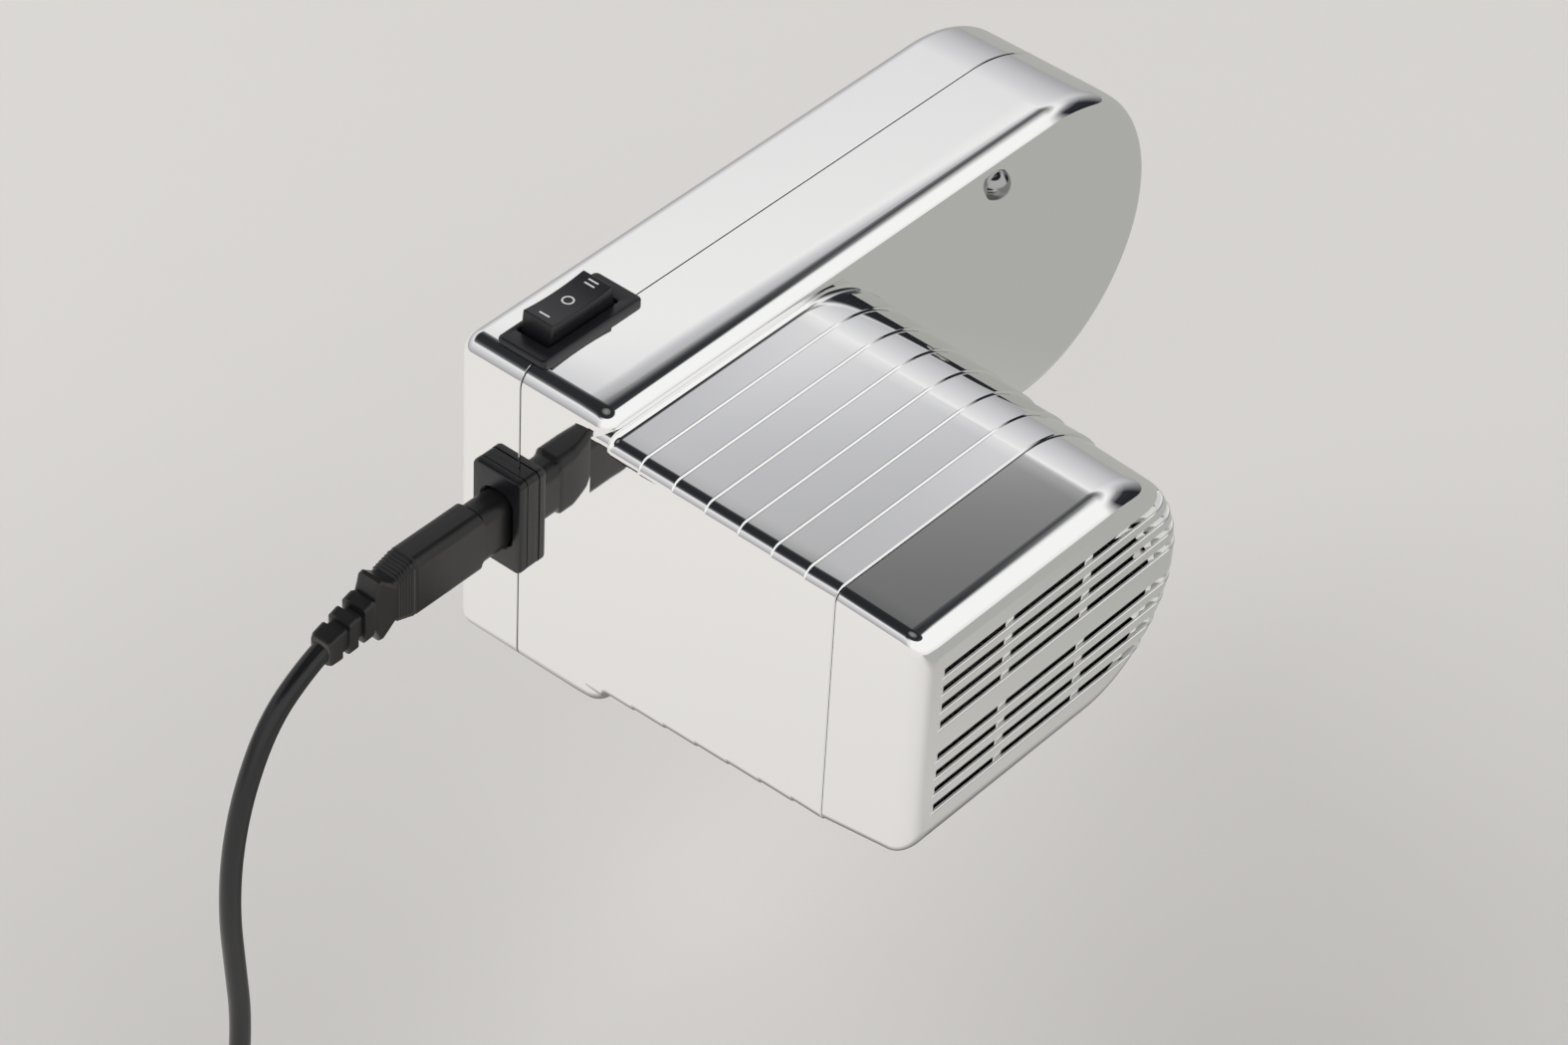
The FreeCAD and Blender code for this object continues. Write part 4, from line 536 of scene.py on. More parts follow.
@dataclass
class Case:
    """The chrome case: gear cover, main housing with the stepped barrel, and the anchor bolt."""

    corner: float = 5.2
    back_round: float = 3.5
    face_round: float = 4.9
    face_lead: float = 5.0
    face_drop: float = 0.13
    face_lean_deg: float = 3.0
    seam_break: float = 0.3
    seam_gap: float = 0.2
    barrel_inset: float = 5.7
    barrel_width: float = 105.4
    barrel_corner: float = 3.4
    foot: float = 1.6
    cap_gap: float = 0.1
    first_ring: float = 9.3
    ring_pitch: float = 9.7
    ring_count: int = 6
    ring_rise: float = 0.54
    ring_run: float = 0.36
    ring_side: float = 0.85
    # The fall of one step: shares of ring_run along the barrel, and shares of the step
    ring_fall: tuple[Flat, ...] = (
        (-0.5, 0.14), (0.0, 0.19), (0.25, 0.39), (0.75, 0.83), (1.0, 0.965), (1.5, 1.0))
    bolt_y: float = -20.65
    bolt_z: float = 34.85
    bolt_start: float = 3.0
    bolt_shank: float = 2.5
    bolt_head: float = 4.1
    bolt_rise: float = 3.1
    bolt_sunk: float = 0.2
    dome_steps: int = 14

    def case_outline(self) -> Outline:
        """Return the outline of the gear case."""
        return Outline(INLET_Y, END_RADIUS, END_RADIUS, -END_RADIUS, self.corner)

    def barrel_outline(self, step: float, grow: float = 0.0) -> Outline:
        """Return the outline of the barrel after some steps.

        Args:
            step: number of steps from the case face.
            grow: widening at its foot.

        Returns:
            The outline.
        """
        top = END_RADIUS - self.barrel_inset - step * self.ring_rise + grow
        right = INLET_Y + self.barrel_width - step * self.ring_side + grow
        return Outline(INLET_Y, right, top, -top, self.barrel_corner)

    def seam_edge(self, side: int) -> list[Ring]:
        """List the rings of one half's edge at the seam, from the outside in.

        Args:
            side: minus one for the cover and one for the housing.

        Returns:
            The rings.
        """
        whole = self.case_outline()
        edge = SEAM_X + side * self.seam_gap
        return [across_x(SEAM_X + side * self.seam_break, whole),
                across_x(edge, whole.drawn_in(self.seam_break / 2)),
                across_x(edge, whole.drawn_in(2 * self.seam_break))]

    def build_cover(self) -> None:
        """Build the machine-side half of the case, and a black sheet in the seam that stands for the shadow
        in its gap.
        """
        whole = self.case_outline()
        rings = [across_x(BACK_X + self.back_round * (1 - along), whole.drawn_in(self.back_round * drawn))
                 for along, drawn in reversed(quarter(10))]
        cover = smooth(loft("gear_cover_shell", rings + self.seam_edge(-1), Finishes.CHROME))
        carry(cover, Body.HOUSING, "chrome_plate", "gear_cover")
        # Black moulding laid in the seam where the gap between the halves holds only shade: a painted shadow
        rings = [across_x(SEAM_X + side * self.seam_break, whole.drawn_in(self.seam_break))
                 for side in (-1, 1)]
        carry(loft("seam_shadow_gap", rings, Finishes.BLACK_PLASTIC), Body.HOUSING, "black_plastic")

    def build_housing(self, lead_steps: int = 5, round_steps: int = 12) -> None:
        """Build the outer half of the case, whose rounding begins with a slight lead-in.

        Args:
            lead_steps: steps along the lead-in.
            round_steps: steps along the rounding.
        """
        whole = self.case_outline()
        rings = self.seam_edge(1)[::-1]
        start = FACE_X - self.face_round
        for n in range(lead_steps):
            share = n / lead_steps
            drop = self.face_drop * share ** 2
            rings.append(across_x(start - self.face_lead * (1 - share), whole.drawn_in(drop)))
        lean = math.radians(self.face_lean_deg)
        for n in range(round_steps + 1):
            angle = lean + (math.pi / 2 - lean) * n / round_steps
            along = (math.sin(angle) - math.sin(lean)) / (1 - math.sin(lean))
            drawn = 1 - math.cos(angle) / math.cos(lean)
            drop = self.face_drop + (self.face_round - self.face_drop) * drawn
            rings.append(across_x(start + self.face_round * along, whole.drawn_in(drop)))
        case = smooth(loft("main_housing_case", rings, Finishes.CHROME))
        carry(case, Body.HOUSING, "chrome_plate", "main_housing")

    def build_barrel(self) -> None:
        """Build the stepped barrel, from within the case's face to the cap."""
        foot = self.barrel_outline(0, self.foot)
        rings = [across_x(FACE_X - self.face_round, foot), across_x(FACE_X, foot)]
        rings += [across_x(FACE_X + self.foot * drawn, self.barrel_outline(0, self.foot * (1 - along)))
                  for along, drawn in quarter(6)[1:]]
        for ring in range(self.ring_count):
            x = FACE_X + self.first_ring + ring * self.ring_pitch
            rings += [across_x(x + self.ring_run * along, self.barrel_outline(ring + drop))
                      for along, drop in self.ring_fall]
        last = self.barrel_outline(self.ring_count)
        edge = CAP_X - self.cap_gap
        rings += [across_x(CAP_X - self.seam_break, last),
                  across_x(edge, last.drawn_in(self.seam_break)),
                  across_x(edge, last.drawn_in(3 * self.seam_break))]
        barrel = smooth(loft("main_housing_barrel", rings, Finishes.CHROME))
        carry(barrel, Body.HOUSING, "chrome_plate", "main_housing")

    def build_bolt(self) -> None:
        """Build the anchor bolt: shank and domed head."""
        head, rise = self.bolt_head, self.bolt_rise
        sphere = (head ** 2 + rise ** 2) / (2 * rise)
        lean = math.asin(min(1.0, head / sphere))
        neck = FACE_X - self.bolt_sunk
        profile = [(BACK_X + self.bolt_start, self.bolt_shank), (neck, self.bolt_shank), (neck, head),
                   (FACE_X, head)]
        for n in range(self.dome_steps):
            angle = lean * (1 - n / self.dome_steps)
            profile.append((FACE_X + rise - sphere * (1 - math.cos(angle)), sphere * math.sin(angle)))
        rings = [[(x, self.bolt_y + r * c, self.bolt_z + r * s) for c, s in full_turn(48)]
                 for x, r in profile]
        bolt = smooth(loft("anchor_bolt_dome", rings, Finishes.BOLT_HEAD))
        carry(bolt, Body.HOUSING, "steel", "anchor_bolt")

    def build(self) -> None:
        """Build the whole case."""
        self.build_cover()
        self.build_housing()
        self.build_barrel()
        self.build_bolt()


@dataclass
class Cap:
    """The slotted cap of the barrel: a closed form, with its slots as pockets."""

    joint_break: float = 0.3
    joint_inset: float = 0.9
    end_top: float = 33.6
    end_bottom: float = -31.2
    end_side: float = 1.95
    rounding: float = 6.5
    left_rounding: float = 4.2
    round_steps: int = 12
    slots_in_group: int = 4
    slot_pitch: float = 5.2
    slot_height: float = 2.4
    slot_depth: float = 4.2
    slot_inset: float = 8.0
    slot_reach: float = 110.0
    slot_mouth: float = -1.5
    slot_heel: float = 3.0
    cutter_proud: float = 2.0
    edge_break: float = 0.22
    lip_radius: float = 0.42
    lip_rise: float = 0.06
    lip_sunk: float = 0.26
    lip_start: float = -0.6
    first_lips: Flat = (20.55, -4.75)
    rib_insets: Flat = (34.9, 63.4)
    rib_ends: Flat = (-24.5, 25.5)
    rib_half: float = 1.5
    rib_sunk: float = 2.8
    rib_depth: float = 5.0
    rib_break: float = 0.3
    rim_y: float = -95.15
    rim_z: float = 1.2
    rim_radius: float = 25.0
    rim_wall: float = 2.0
    rim_steps: int = 40

    def outline_at(self, x: float, start: Outline, inset: float, left_inset: float) -> Outline:
        """Return the cap's outline at a place.

        Args:
            x: where.
            start: the outline at the joint.
            inset: drawn in by the end's rounding.
            left_inset: the same on the left side.

        Returns:
            The outline.
        """
        share = (x - CAP_X) / (END_X - CAP_X)
        top = start.top + share * (self.end_top - start.top)
        bottom = start.bottom + share * (self.end_bottom - start.bottom)
        right = start.right - share * self.end_side
        return Outline(INLET_Y + left_inset, right - inset, top - inset, bottom + inset, start.corner)

    def end_ring(self, start: Outline, along: float, drawn: float) -> Ring:
        """Return the cap's ring at one step of the end's rounding.

        Args:
            start: the outline at the joint.
            along: share of the rounding along X.
            drawn: share of the rounding drawn in.

        Returns:
            The ring.
        """
        x = END_X - self.rounding + self.rounding * along
        return across_x(x, self.outline_at(x, start, self.rounding * drawn, self.left_rounding * drawn))

    def slot(self, lip: float) -> bpy.types.Object:
        """Make the cutter of one slot, which runs out at the right.

        Args:
            lip: height of its lower lip.

        Returns:
            The cutter.
        """
        left = INLET_Y + self.slot_inset
        right = INLET_Y + self.slot_reach
        proud, deep = END_X + self.cutter_proud, END_X - self.slot_depth
        plan = [(proud, left + self.slot_mouth), (proud, right), (deep, right),
                (deep, left + self.slot_heel)]
        rings = [[(x, y, z) for x, y in plan] for z in (lip, lip + self.slot_height)]
        return loft("slot_cutter", rings, Finishes.CHROME)

    def lip_path(self, start: Outline, z: float) -> list[Flat]:
        """Follow the cap's skin along a slot, over the face and round the right side.

        Args:
            start: the outline at the joint.
            z: height.

        Returns:
            Points of X and Y.
        """
        path = [(END_X - self.lip_sunk, INLET_Y + self.slot_inset + self.lip_start)]
        for along, drawn in reversed(quarter(self.round_steps)):
            ring = self.end_ring(start, along, drawn)
            x = ring[0][0]
            if x < END_X - self.slot_depth:
                break
            crossed = [(a, b) for a, b in zip(ring, ring[1:] + ring[:1])
                       if min(a[2], b[2]) <= z < max(a[2], b[2])]
            reach = max(a[1] + (b[1] - a[1]) * (z - a[2]) / (b[2] - a[2]) for a, b in crossed)
            path.append((x - self.lip_sunk * along, reach - self.lip_sunk * (1 - drawn)))
        return path

    def build_lip(self, start: Outline, lip: float) -> None:
        """Build the rounded lower lip of one slot.

        Args:
            start: the outline at the joint.
            lip: height of the slot's lower lip.
        """
        z = lip - self.lip_radius + self.lip_rise
        path = self.lip_path(start, z)
        bead = [(self.lip_radius * c, self.lip_radius * s) for c, s in reversed(full_turn(12))]
        rings = []
        for n, (x, y) in enumerate(path):
            before, after = path[max(n - 1, 0)], path[min(n + 1, len(path) - 1)]
            run = math.hypot(after[0] - before[0], after[1] - before[1])
            out_x, out_y = (after[1] - before[1]) / run, -(after[0] - before[0]) / run
            rings.append([(x + out * out_x, y + out * out_y, z + up) for out, up in bead])
        piece = smooth(loft("slot_lip", rings, Finishes.CHROME), angle_deg=50)
        carry(piece, Body.HOUSING, "chrome_plate", "end_cap")

    def build_shell(self, start: Outline) -> None:
        """Build the cap with its two groups of slots.

        Args:
            start: the outline at the joint.
        """
        rings = [across_x(CAP_X, start.drawn_in(self.joint_inset)),
                 across_x(CAP_X, start.drawn_in(self.joint_break)),
                 across_x(CAP_X + self.joint_break, self.outline_at(CAP_X, start, 0.0, 0.0))]
        rings += [self.end_ring(start, along, drawn) for along, drawn in quarter(self.round_steps)]
        shell = loft("end_cap_shell", rings, Finishes.CHROME)
        for first in self.first_lips:
            for number in range(self.slots_in_group):
                lip = first - number * self.slot_pitch
                cut_away(shell, self.slot(lip))
                self.build_lip(start, lip)
        smooth(shell, bevel_mm=self.edge_break, angle_deg=40)
        carry(shell, Body.HOUSING, "chrome_plate", "end_cap")

    def build_ribs(self) -> None:
        """Build the two upright ribs and the half-round rim that show in the slots."""
        front = END_X - self.rib_sunk
        back = front - self.rib_depth
        low, high = self.rib_ends
        for number, inset in enumerate(self.rib_insets):
            left, right = INLET_Y + inset - self.rib_half, INLET_Y + inset + self.rib_half
            rings = [[(x, left, low), (x, right, low), (x, right, high), (x, left, high)]
                     for x in (back, front)]
            rib = smooth(loft(f"end_cap_rib_{number}", rings, Finishes.CHROME), bevel_mm=self.rib_break)
            carry(rib, Body.HOUSING, "chrome_plate", "end_cap")
        outer, inner = self.rim_radius, self.rim_radius - self.rim_wall
        section = ((back, inner), (front, inner), (front, outer), (back, outer))
        rings = []
        for n in range(self.rim_steps + 1):
            angle = math.pi * (n / self.rim_steps - 0.5)
            rings.append([(x, self.rim_y + r * math.cos(angle), self.rim_z + r * math.sin(angle))
                          for x, r in section])
        rim = smooth(loft("end_cap_rim", rings, Finishes.CHROME))
        carry(rim, Body.HOUSING, "chrome_plate", "end_cap")

    def build(self, start: Outline) -> None:
        """Build the cap, its slots and what shows in them.

        Args:
            start: the outline at the joint.
        """
        self.build_shell(start)
        self.build_ribs()


@dataclass
class Switch:
    """The rocker switch with its bezel and printed marks."""

    middle_x: float = 15.9
    middle_y: float = -139.25
    width: float = 14.6
    length: float = 33.6
    corner: float = 1.2
    seat_gap: float = 0.02
    rise: float = 1.6
    well_width: float = 9.7
    well_length: float = 23.9
    well_corner: float = 0.5
    well_floor: float = 0.4
    rocker_x: float = 15.15
    rocker_half: float = 4.55
    rocker_reach: float = 10.2
    rocker_steps: int = 8
    crest_z: float = 50.85
    dip: float = 0.7
    pivot_z: float = 44.75
    skirt: tuple[Flat, Flat] = ((6.5, -5.0), (10.95, 0.0))
    bar_across: float = 1.5
    bar_along: float = 0.22
    bar_levels: Flat = (-0.1, 0.08)
    zero_radii: Flat = (1.55, 1.15)
    zero_levels: Flat = (-0.05, 0.04)

    def bezel_ring(self, z: float, inset: float) -> Ring:
        """Return a ring of the bezel's outside.

        Args:
            z: height.
            inset: by how much it is drawn in.

        Returns:
            The ring.
        """
        plan = rounded_rectangle(self.width - 2 * inset, self.length - 2 * inset, self.corner)
        return [(self.middle_x + x, self.middle_y + y, z) for x, y in plan]

    def well_ring(self, z: float, grow: float) -> Ring:
        """Return a ring of the bezel's well.

        Args:
            z: height.
            grow: by how much its chamfer widens it.

        Returns:
            The ring.
        """
        plan = rounded_rectangle(self.well_width + grow, self.well_length + grow, self.well_corner)
        return [(self.rocker_x + x, self.middle_y + y, z) for x, y in plan]

    def build_bezel(self) -> None:
        """Build the bezel and its well."""
        base = END_RADIUS + self.seat_gap
        top = END_RADIUS + self.rise
        outside = ((base, 0.0), (top - 0.6, 0.0), (top - 0.3, 0.1), (top - 0.05, 0.35), (top, 0.7))
        inside = ((top, 0.5), (top - 0.3, 0.0), (base + self.well_floor, 0.0))
        rings = [self.bezel_ring(z, inset) for z, inset in outside]
        rings += [self.well_ring(z, grow) for z, grow in inside]
        bezel = smooth(loft("switch_bezel", rings, Finishes.BLACK_PLASTIC), angle_deg=50)
        carry(bezel, Body.HOUSING, "black_plastic", "switch_body")

    def crest(self, y: float) -> float:
        """Return the height of the rocker's hollow top at a place along it."""
        return self.crest_z - self.dip * (1 - (y / self.rocker_reach) ** 2)

    def profile(self) -> list[Flat]:
        """List the rocker's profile along the case."""
        right = [(y, self.pivot_z + z) for y, z in self.skirt]
        for n in range(self.rocker_steps):
            y = self.rocker_reach * (1 - n / self.rocker_steps)
            right.append((y, self.crest(y)))
        return right + [(0.0, self.crest(0.0))] + [(-y, z) for y, z in reversed(right)]

    def build_rocker(self) -> None:
        """Build the rocker and the marks printed on it."""
        rings = [[(self.rocker_x + side * self.rocker_half, self.middle_y + y, z)
                  for y, z in self.profile()] for side in (-1, 1)]
        rocker = smooth(loft("rocker", rings, Finishes.BLACK_PLASTIC), bevel_mm=0.35, angle_deg=28)
        carry(rocker, Body.SWITCH, "black_plastic", "switch_rocker")
        self.mark("mark_one", (-7.9,))
        self.mark("mark_two", (7.2, 8.6))
        low, high = (self.crest(0.0) + level for level in self.zero_levels)
        outer, inner = self.zero_radii
        rings = [[(self.rocker_x + r * c, self.middle_y + r * s, z) for c, s in full_turn(40)]
                 for r, z in ((outer, low), (outer, high), (inner, high), (inner, low))]
        carry(loft("mark_zero", rings, Finishes.PRINT), Body.SWITCH, "black_plastic")

    def mark(self, name: str, bars: Sequence[float]) -> None:
        """Print short bars across the rocker.

        Args:
            name: the piece's name.
            bars: their places along the rocker.
        """
        across, along = self.bar_across, self.bar_along
        corners = ((-across, -along), (across, -along), (across, along), (-across, along))
        sides = ((3, 2, 1, 0), (4, 5, 6, 7), (0, 1, 5, 4), (1, 2, 6, 5), (2, 3, 7, 6), (3, 0, 4, 7))
        points: list[Point] = []
        faces: list[list[int]] = []
        for y in bars:
            first = len(points)
            for level in self.bar_levels:
                points += [(self.rocker_x + dx, self.middle_y + y + dy, self.crest(y) + level)
                           for dx, dy in corners]
            faces += [[first + n for n in side] for side in sides]
        carry(mesh_object(name, points, faces, Finishes.PRINT), Body.SWITCH, "black_plastic")

    def build(self) -> None:
        """Build the whole switch."""
        self.build_bezel()
        self.build_rocker()


@dataclass
class Inlet:
    """The flange of the mains inlet, in two layers, and the connector in it."""

    x: float = 17.0
    z: float = 1.9
    width: float = 15.2
    height: float = 27.4
    frame_y: float = -164.6
    base_y: float = -162.15
    # Width, height and corner of the well and of its chamfered mouth
    well: Point = (9.5, 16.0, 3.6)
    mouth: Point = (10.4, 16.9, 4.0)
    well_depth: float = 14.0

    def ring(self, y: float, width: float, height: float, corner: float, rise: float = 0.0) -> Ring:
        """Stand a rounded rectangle up across Y.

        Args:
            y: where.
            width: its width.
            height: its height.
            corner: its corner radius.
            rise: height of its middle above the inlet's.

        Returns:
            The ring.
        """
        return [(self.x + a, y, self.z + rise + b) for a, b in rounded_rectangle(width, height, corner)]

    def build_flange(self) -> None:
        """Build both layers of the flange."""
        w, h, front, back = self.width, self.height, self.frame_y, self.base_y
        spans = ((back - 0.15, w - 0.8, h - 0.8, 1.3), (back - 0.25, w, h, 1.6), (front + 0.7, w, h, 1.6),
                 (front + 0.2, w - 0.4, h - 0.4, 1.5), (front, w - 1.2, h - 1.2, 1.4), (front, *self.mouth),
                 (front + 0.4, *self.well), (back, *self.well), (back + self.well_depth, *self.well))
        rings = [self.ring(*span) for span in spans]
        flange = smooth(loft("inlet_flange", rings, Finishes.BLACK_PLASTIC), angle_deg=40)
        carry(flange, Body.HOUSING, "black_plastic", "inlet_frame")
        spans = ((INLET_Y - 0.02, w - 0.1, h - 0.1, 1.6), (back + 0.1, w - 0.1, h - 0.1, 1.6),
                 (back - 0.1, w - 0.8, h - 0.8, 1.3))
        rings = [self.ring(*span) for span in spans]
        base = smooth(loft("inlet_base", rings, Finishes.BLACK_PLASTIC), angle_deg=40)
        carry(base, Body.HOUSING, "black_plastic", "inlet_socket")

    def build_connector(self) -> None:
        """Build the connector: nose, body, ribbed grip, finger wings and notched strain relief."""
        # Place along Y, width, height, corner, and rise of the middle where it isn't the inlet's
        spans: list[tuple[float, ...]] = [
            (-146.5, 7.6, 14.0, 3.0), (-147.2, 8.6, 15.1, 3.2), (-172.6, 8.6, 15.1, 3.2),
            (-173.3, 8.2, 15.8, 2.4), (-174.0, 8.8, 17.0, 2.4), (-195.0, 8.8, 17.0, 2.4),
            (-195.3, 8.3, 16.2, 2.2), (-195.8, 8.3, 16.2, 2.2), (-196.1, 8.7, 16.6, 2.2)]
        for rib in range(6):
            y, high = -196.4 - rib * 0.9, 16.2 - rib * 0.6
            spans += [(y, 8.7, high, 2.0), (y - 0.3, 8.0, high - 0.7, 1.8), (y - 0.6, 8.0, high - 0.8, 1.8)]
        wings = [(-202.0, 8.0, 12.2, 1.8, 0.0), (-204.0, 7.6, 15.4, 1.6, -0.2),
                 (-205.4, 7.2, 17.8, 1.4, -0.3), (-206.4, 7.0, 17.6, 1.4, -0.4),
                 (-207.0, 6.8, 14.0, 1.4, -0.5), (-207.8, 6.8, 9.6, 1.4, -0.6)]
        spans += wings
        for notch in range(2):
            y, rise, slim = -209.0 - notch * 4.6, -0.9 - notch, notch * 0.4
            spans += [(y, 7.6 - slim, 10.6 - notch, 1.4, rise),
                      (y - 2.4, 7.4 - slim, 10.2 - notch, 1.4, rise - 0.5),
                      (y - 2.7, 5.6, 6.6, 1.2, rise - 0.55), (y - 4.3, 5.6, 6.4, 1.2, rise - 0.9)]
        tail = [(-218.4, 6.8, 8.4, 1.4, -2.9), (-221.4, 6.6, 7.6, 1.4, -3.4), (-222.2, 5.8, 6.4, 1.2, -3.5)]
        rings = [self.ring(*span) for span in spans + tail]
        connector = smooth(loft("connector_body", rings, Finishes.PLUG_PLASTIC), angle_deg=42)
        carry(connector, Body.LEAD, "black_plastic", "lead_connector")

    def build(self) -> None:
        """Build the inlet and its connector."""
        self.build_flange()
        self.build_connector()


@dataclass
class Lead:
    """The lead: the hanging run and the put-away coil as one spline, with tie and plug."""

    x: float = 17.1
    radius: float = 2.6
    route: tuple[Flat, ...] = (
        (-221.6, -1.5), (-228.0, -4.1), (-239.0, -12.2), (-247.4, -28.0), (-251.8, -45.0), (-253.1, -62.6),
        (-251.9, -80.0), (-250.6, -98.0), (-252.2, -117.0), (-258.5, -132.5), (-269.5, -144.5),
        (-284.5, -150.6), (-301.0, -150.6),
    )
    pitch: float = 5.8
    coil_radius: float = 37.5
    turns_in: float = 2.75
    climb: float = 0.5
    turns_out: float = 3.0
    lead_in: float = 5.2
    lead_out: float = 22.0
    per_turn: int = 16
    tie_angle_deg: float = 60.0
    tie_half_width: float = 3.0
    tie_corner: float = 2.0
    tie_outside: float = 2.6
    tie_inside: float = 0.6
    plug_length: float = 36.0
    plug_middle: float = 6.8
    plug_corner: float = 3.0
    # Place along the plug, width and height
    plug_spans: tuple[Point, ...] = (
        (0.0, 10.4, 12.0), (0.8, 12.0, 13.6), (10.0, 17.0, 13.6), (13.0, 20.0, 13.6), (17.0, 28.5, 13.6),
        (20.0, 32.4, 13.6), (21.5, 33.0, 13.6), (35.0, 33.0, 13.6), (35.8, 32.0, 12.8), (36.0, 31.0, 11.8),
    )
    pin_offset: float = 9.3
    # Place along a pin from the plug's face, and radius
    pin_spans: tuple[Flat, ...] = ((-6.0, 2.0), (18.0, 2.0), (18.7, 1.7), (19.0, 1.0))

    def total_turns(self) -> float:
        """Return how many turns the coil has."""
        return self.turns_in + self.climb + self.turns_out

    def reversal(self) -> float:
        """Return after how many turns the coil stops winding in and begins to wind out."""
        return self.turns_in + self.climb / 2

    def coil_centre(self) -> Flat:
        """Return the coil's centre."""
        return (self.x + self.coil_radius, self.route[-1][0] - self.lead_in)

    def coil_point(self, turns: float) -> Point:
        """Return a point of the coil.

        Args:
            turns: turns from its start.

        Returns:
            The point.
        """
        inner = self.coil_radius - self.pitch * self.reversal()
        climbed = min(max(turns - self.turns_in, 0.0) / self.climb, 1.0)
        reach = inner + self.pitch * abs(turns - self.reversal())
        angle = math.pi + math.tau * turns
        x, y = self.coil_centre()
        return (x + reach * math.cos(angle), y + reach * math.sin(angle),
                self.route[-1][1] + self.pitch * (1 - math.cos(math.pi * climbed)) / 2)

    def points(self) -> list[Point]:
        """List the control points from the connector to the plug."""
        trail = [(self.x, y, z) for y, z in self.route]
        swell = 1.0 / math.cos(math.pi / self.per_turn)
        centre_x, centre_y = self.coil_centre()
        for number in range(round(self.total_turns() * self.per_turn) + 1):
            x, y, z = self.coil_point(number / self.per_turn)
            trail.append((centre_x + (x - centre_x) * swell, centre_y + (y - centre_y) * swell, z))
        x, y, z = self.coil_point(self.total_turns())
        trail += [(x + self.lead_out / 2, y, z), (x + self.lead_out, y, z)]
        return trail

    def plug_start(self) -> Point:
        """Return where the plug begins, on its middle line."""
        x, y, _ = self.coil_point(self.total_turns())
        return (x + self.lead_out, y, FLOOR_Z + self.plug_middle)

    def build_plug(self) -> bpy.types.Object:
        """Build the moulded plug at the end of the lead.

        Returns:
            The plug.
        """
        x, y, z = self.plug_start()
        rings = [[(x + along, y + a, z + b) for a, b in rounded_rectangle(width, height, self.plug_corner)]
                 for along, width, height in self.plug_spans]
        plug = smooth(loft("plug_body", rings, Finishes.PLUG_PLASTIC), angle_deg=45)
        plug.visible_glossy = False
        return carry(plug, Body.LEAD, "black_plastic", "mains_plug")

    def build_plug_pins(self) -> list[bpy.types.Object]:
        """Build the two pins of the plug.

        Returns:
            The pins.
        """
        x, y, z = self.plug_start()
        face = x + self.plug_length
        pins = []
        for middle in (y - self.pin_offset, y + self.pin_offset):
            rings = [[(face + along, middle + r * c, z + r * s) for c, s in full_turn(24)]
                     for along, r in self.pin_spans]
            pin = smooth(loft("plug_pin", rings, Finishes.BOLT_HEAD), angle_deg=50)
            pin.visible_glossy = False
            pins.append(carry(pin, Body.LEAD, "steel", "mains_plug_pins"))
        return pins

    def tie_ring(self, side: float, grow: float) -> Ring:
        """Return one ring of the band round the coil.

        Args:
            side: place across the band.
            grow: twice the distance from the lead's turns.

        Returns:
            The ring.
        """
        innermost = self.coil_radius - self.pitch * self.reversal()
        inner = innermost - self.radius
        outer = innermost + self.pitch * (self.climb / 2 + self.turns_out) + self.radius
        x, y = self.coil_centre()
        z = self.route[-1][1] + self.pitch / 2
        angle = math.radians(self.tie_angle_deg)
        cos, sin = math.cos(angle), math.sin(angle)
        plan = rounded_rectangle(outer - inner + grow, self.pitch + 2 * self.radius + grow,
                                 self.tie_corner + grow / 2)
        reach = [((inner + outer) / 2 + along, up) for along, up in plan]
        return [(x + r * cos - side * sin, y + r * sin + side * cos, z + up) for r, up in reach]

    def build_tie(self) -> bpy.types.Object:
        """Build the band round the coil.

        Returns:
            The band.
        """
        half = self.tie_half_width
        rings = [self.tie_ring(-half, self.tie_inside), self.tie_ring(half, self.tie_inside),
                 self.tie_ring(half, self.tie_outside), self.tie_ring(-half, self.tie_outside)]
        tie = smooth(loft("coil_tie", rings, Finishes.PLUG_PLASTIC, joined=True), angle_deg=40)
        tie.visible_glossy = False
        return carry(tie, Body.LEAD, "black_plastic", "cord_tie")

    def build(self) -> None:
        points = self.points()
        curve = bpy.data.curves.new("lead", "CURVE")
        curve.dimensions = "3D"
        spline = curve.splines.new("NURBS")
        spline.points.add(len(points) - 1)
        for control, (x, y, z) in zip(spline.points, points):
            control.co = (x * MM, y * MM, z * MM, 1.0)
        spline.order_u = 3
        spline.use_endpoint_u = True
        spline.resolution_u = 10
        curve.bevel_depth = self.radius * MM
        curve.bevel_resolution = 8
        curve.materials.append(PALETTE.get(Finishes.SHEATH))
        piece = bpy.data.objects.new("lead", curve)
        bpy.context.scene.collection.objects.link(piece)
        piece.visible_glossy = False
        piece.visible_diffuse = False
        piece.visible_shadow = False
        carry(piece, Body.LEAD, "black_cord", "cord_run", "cord_coil")
        on_lead = [self.build_plug(), self.build_tie(), *self.build_plug_pins()]


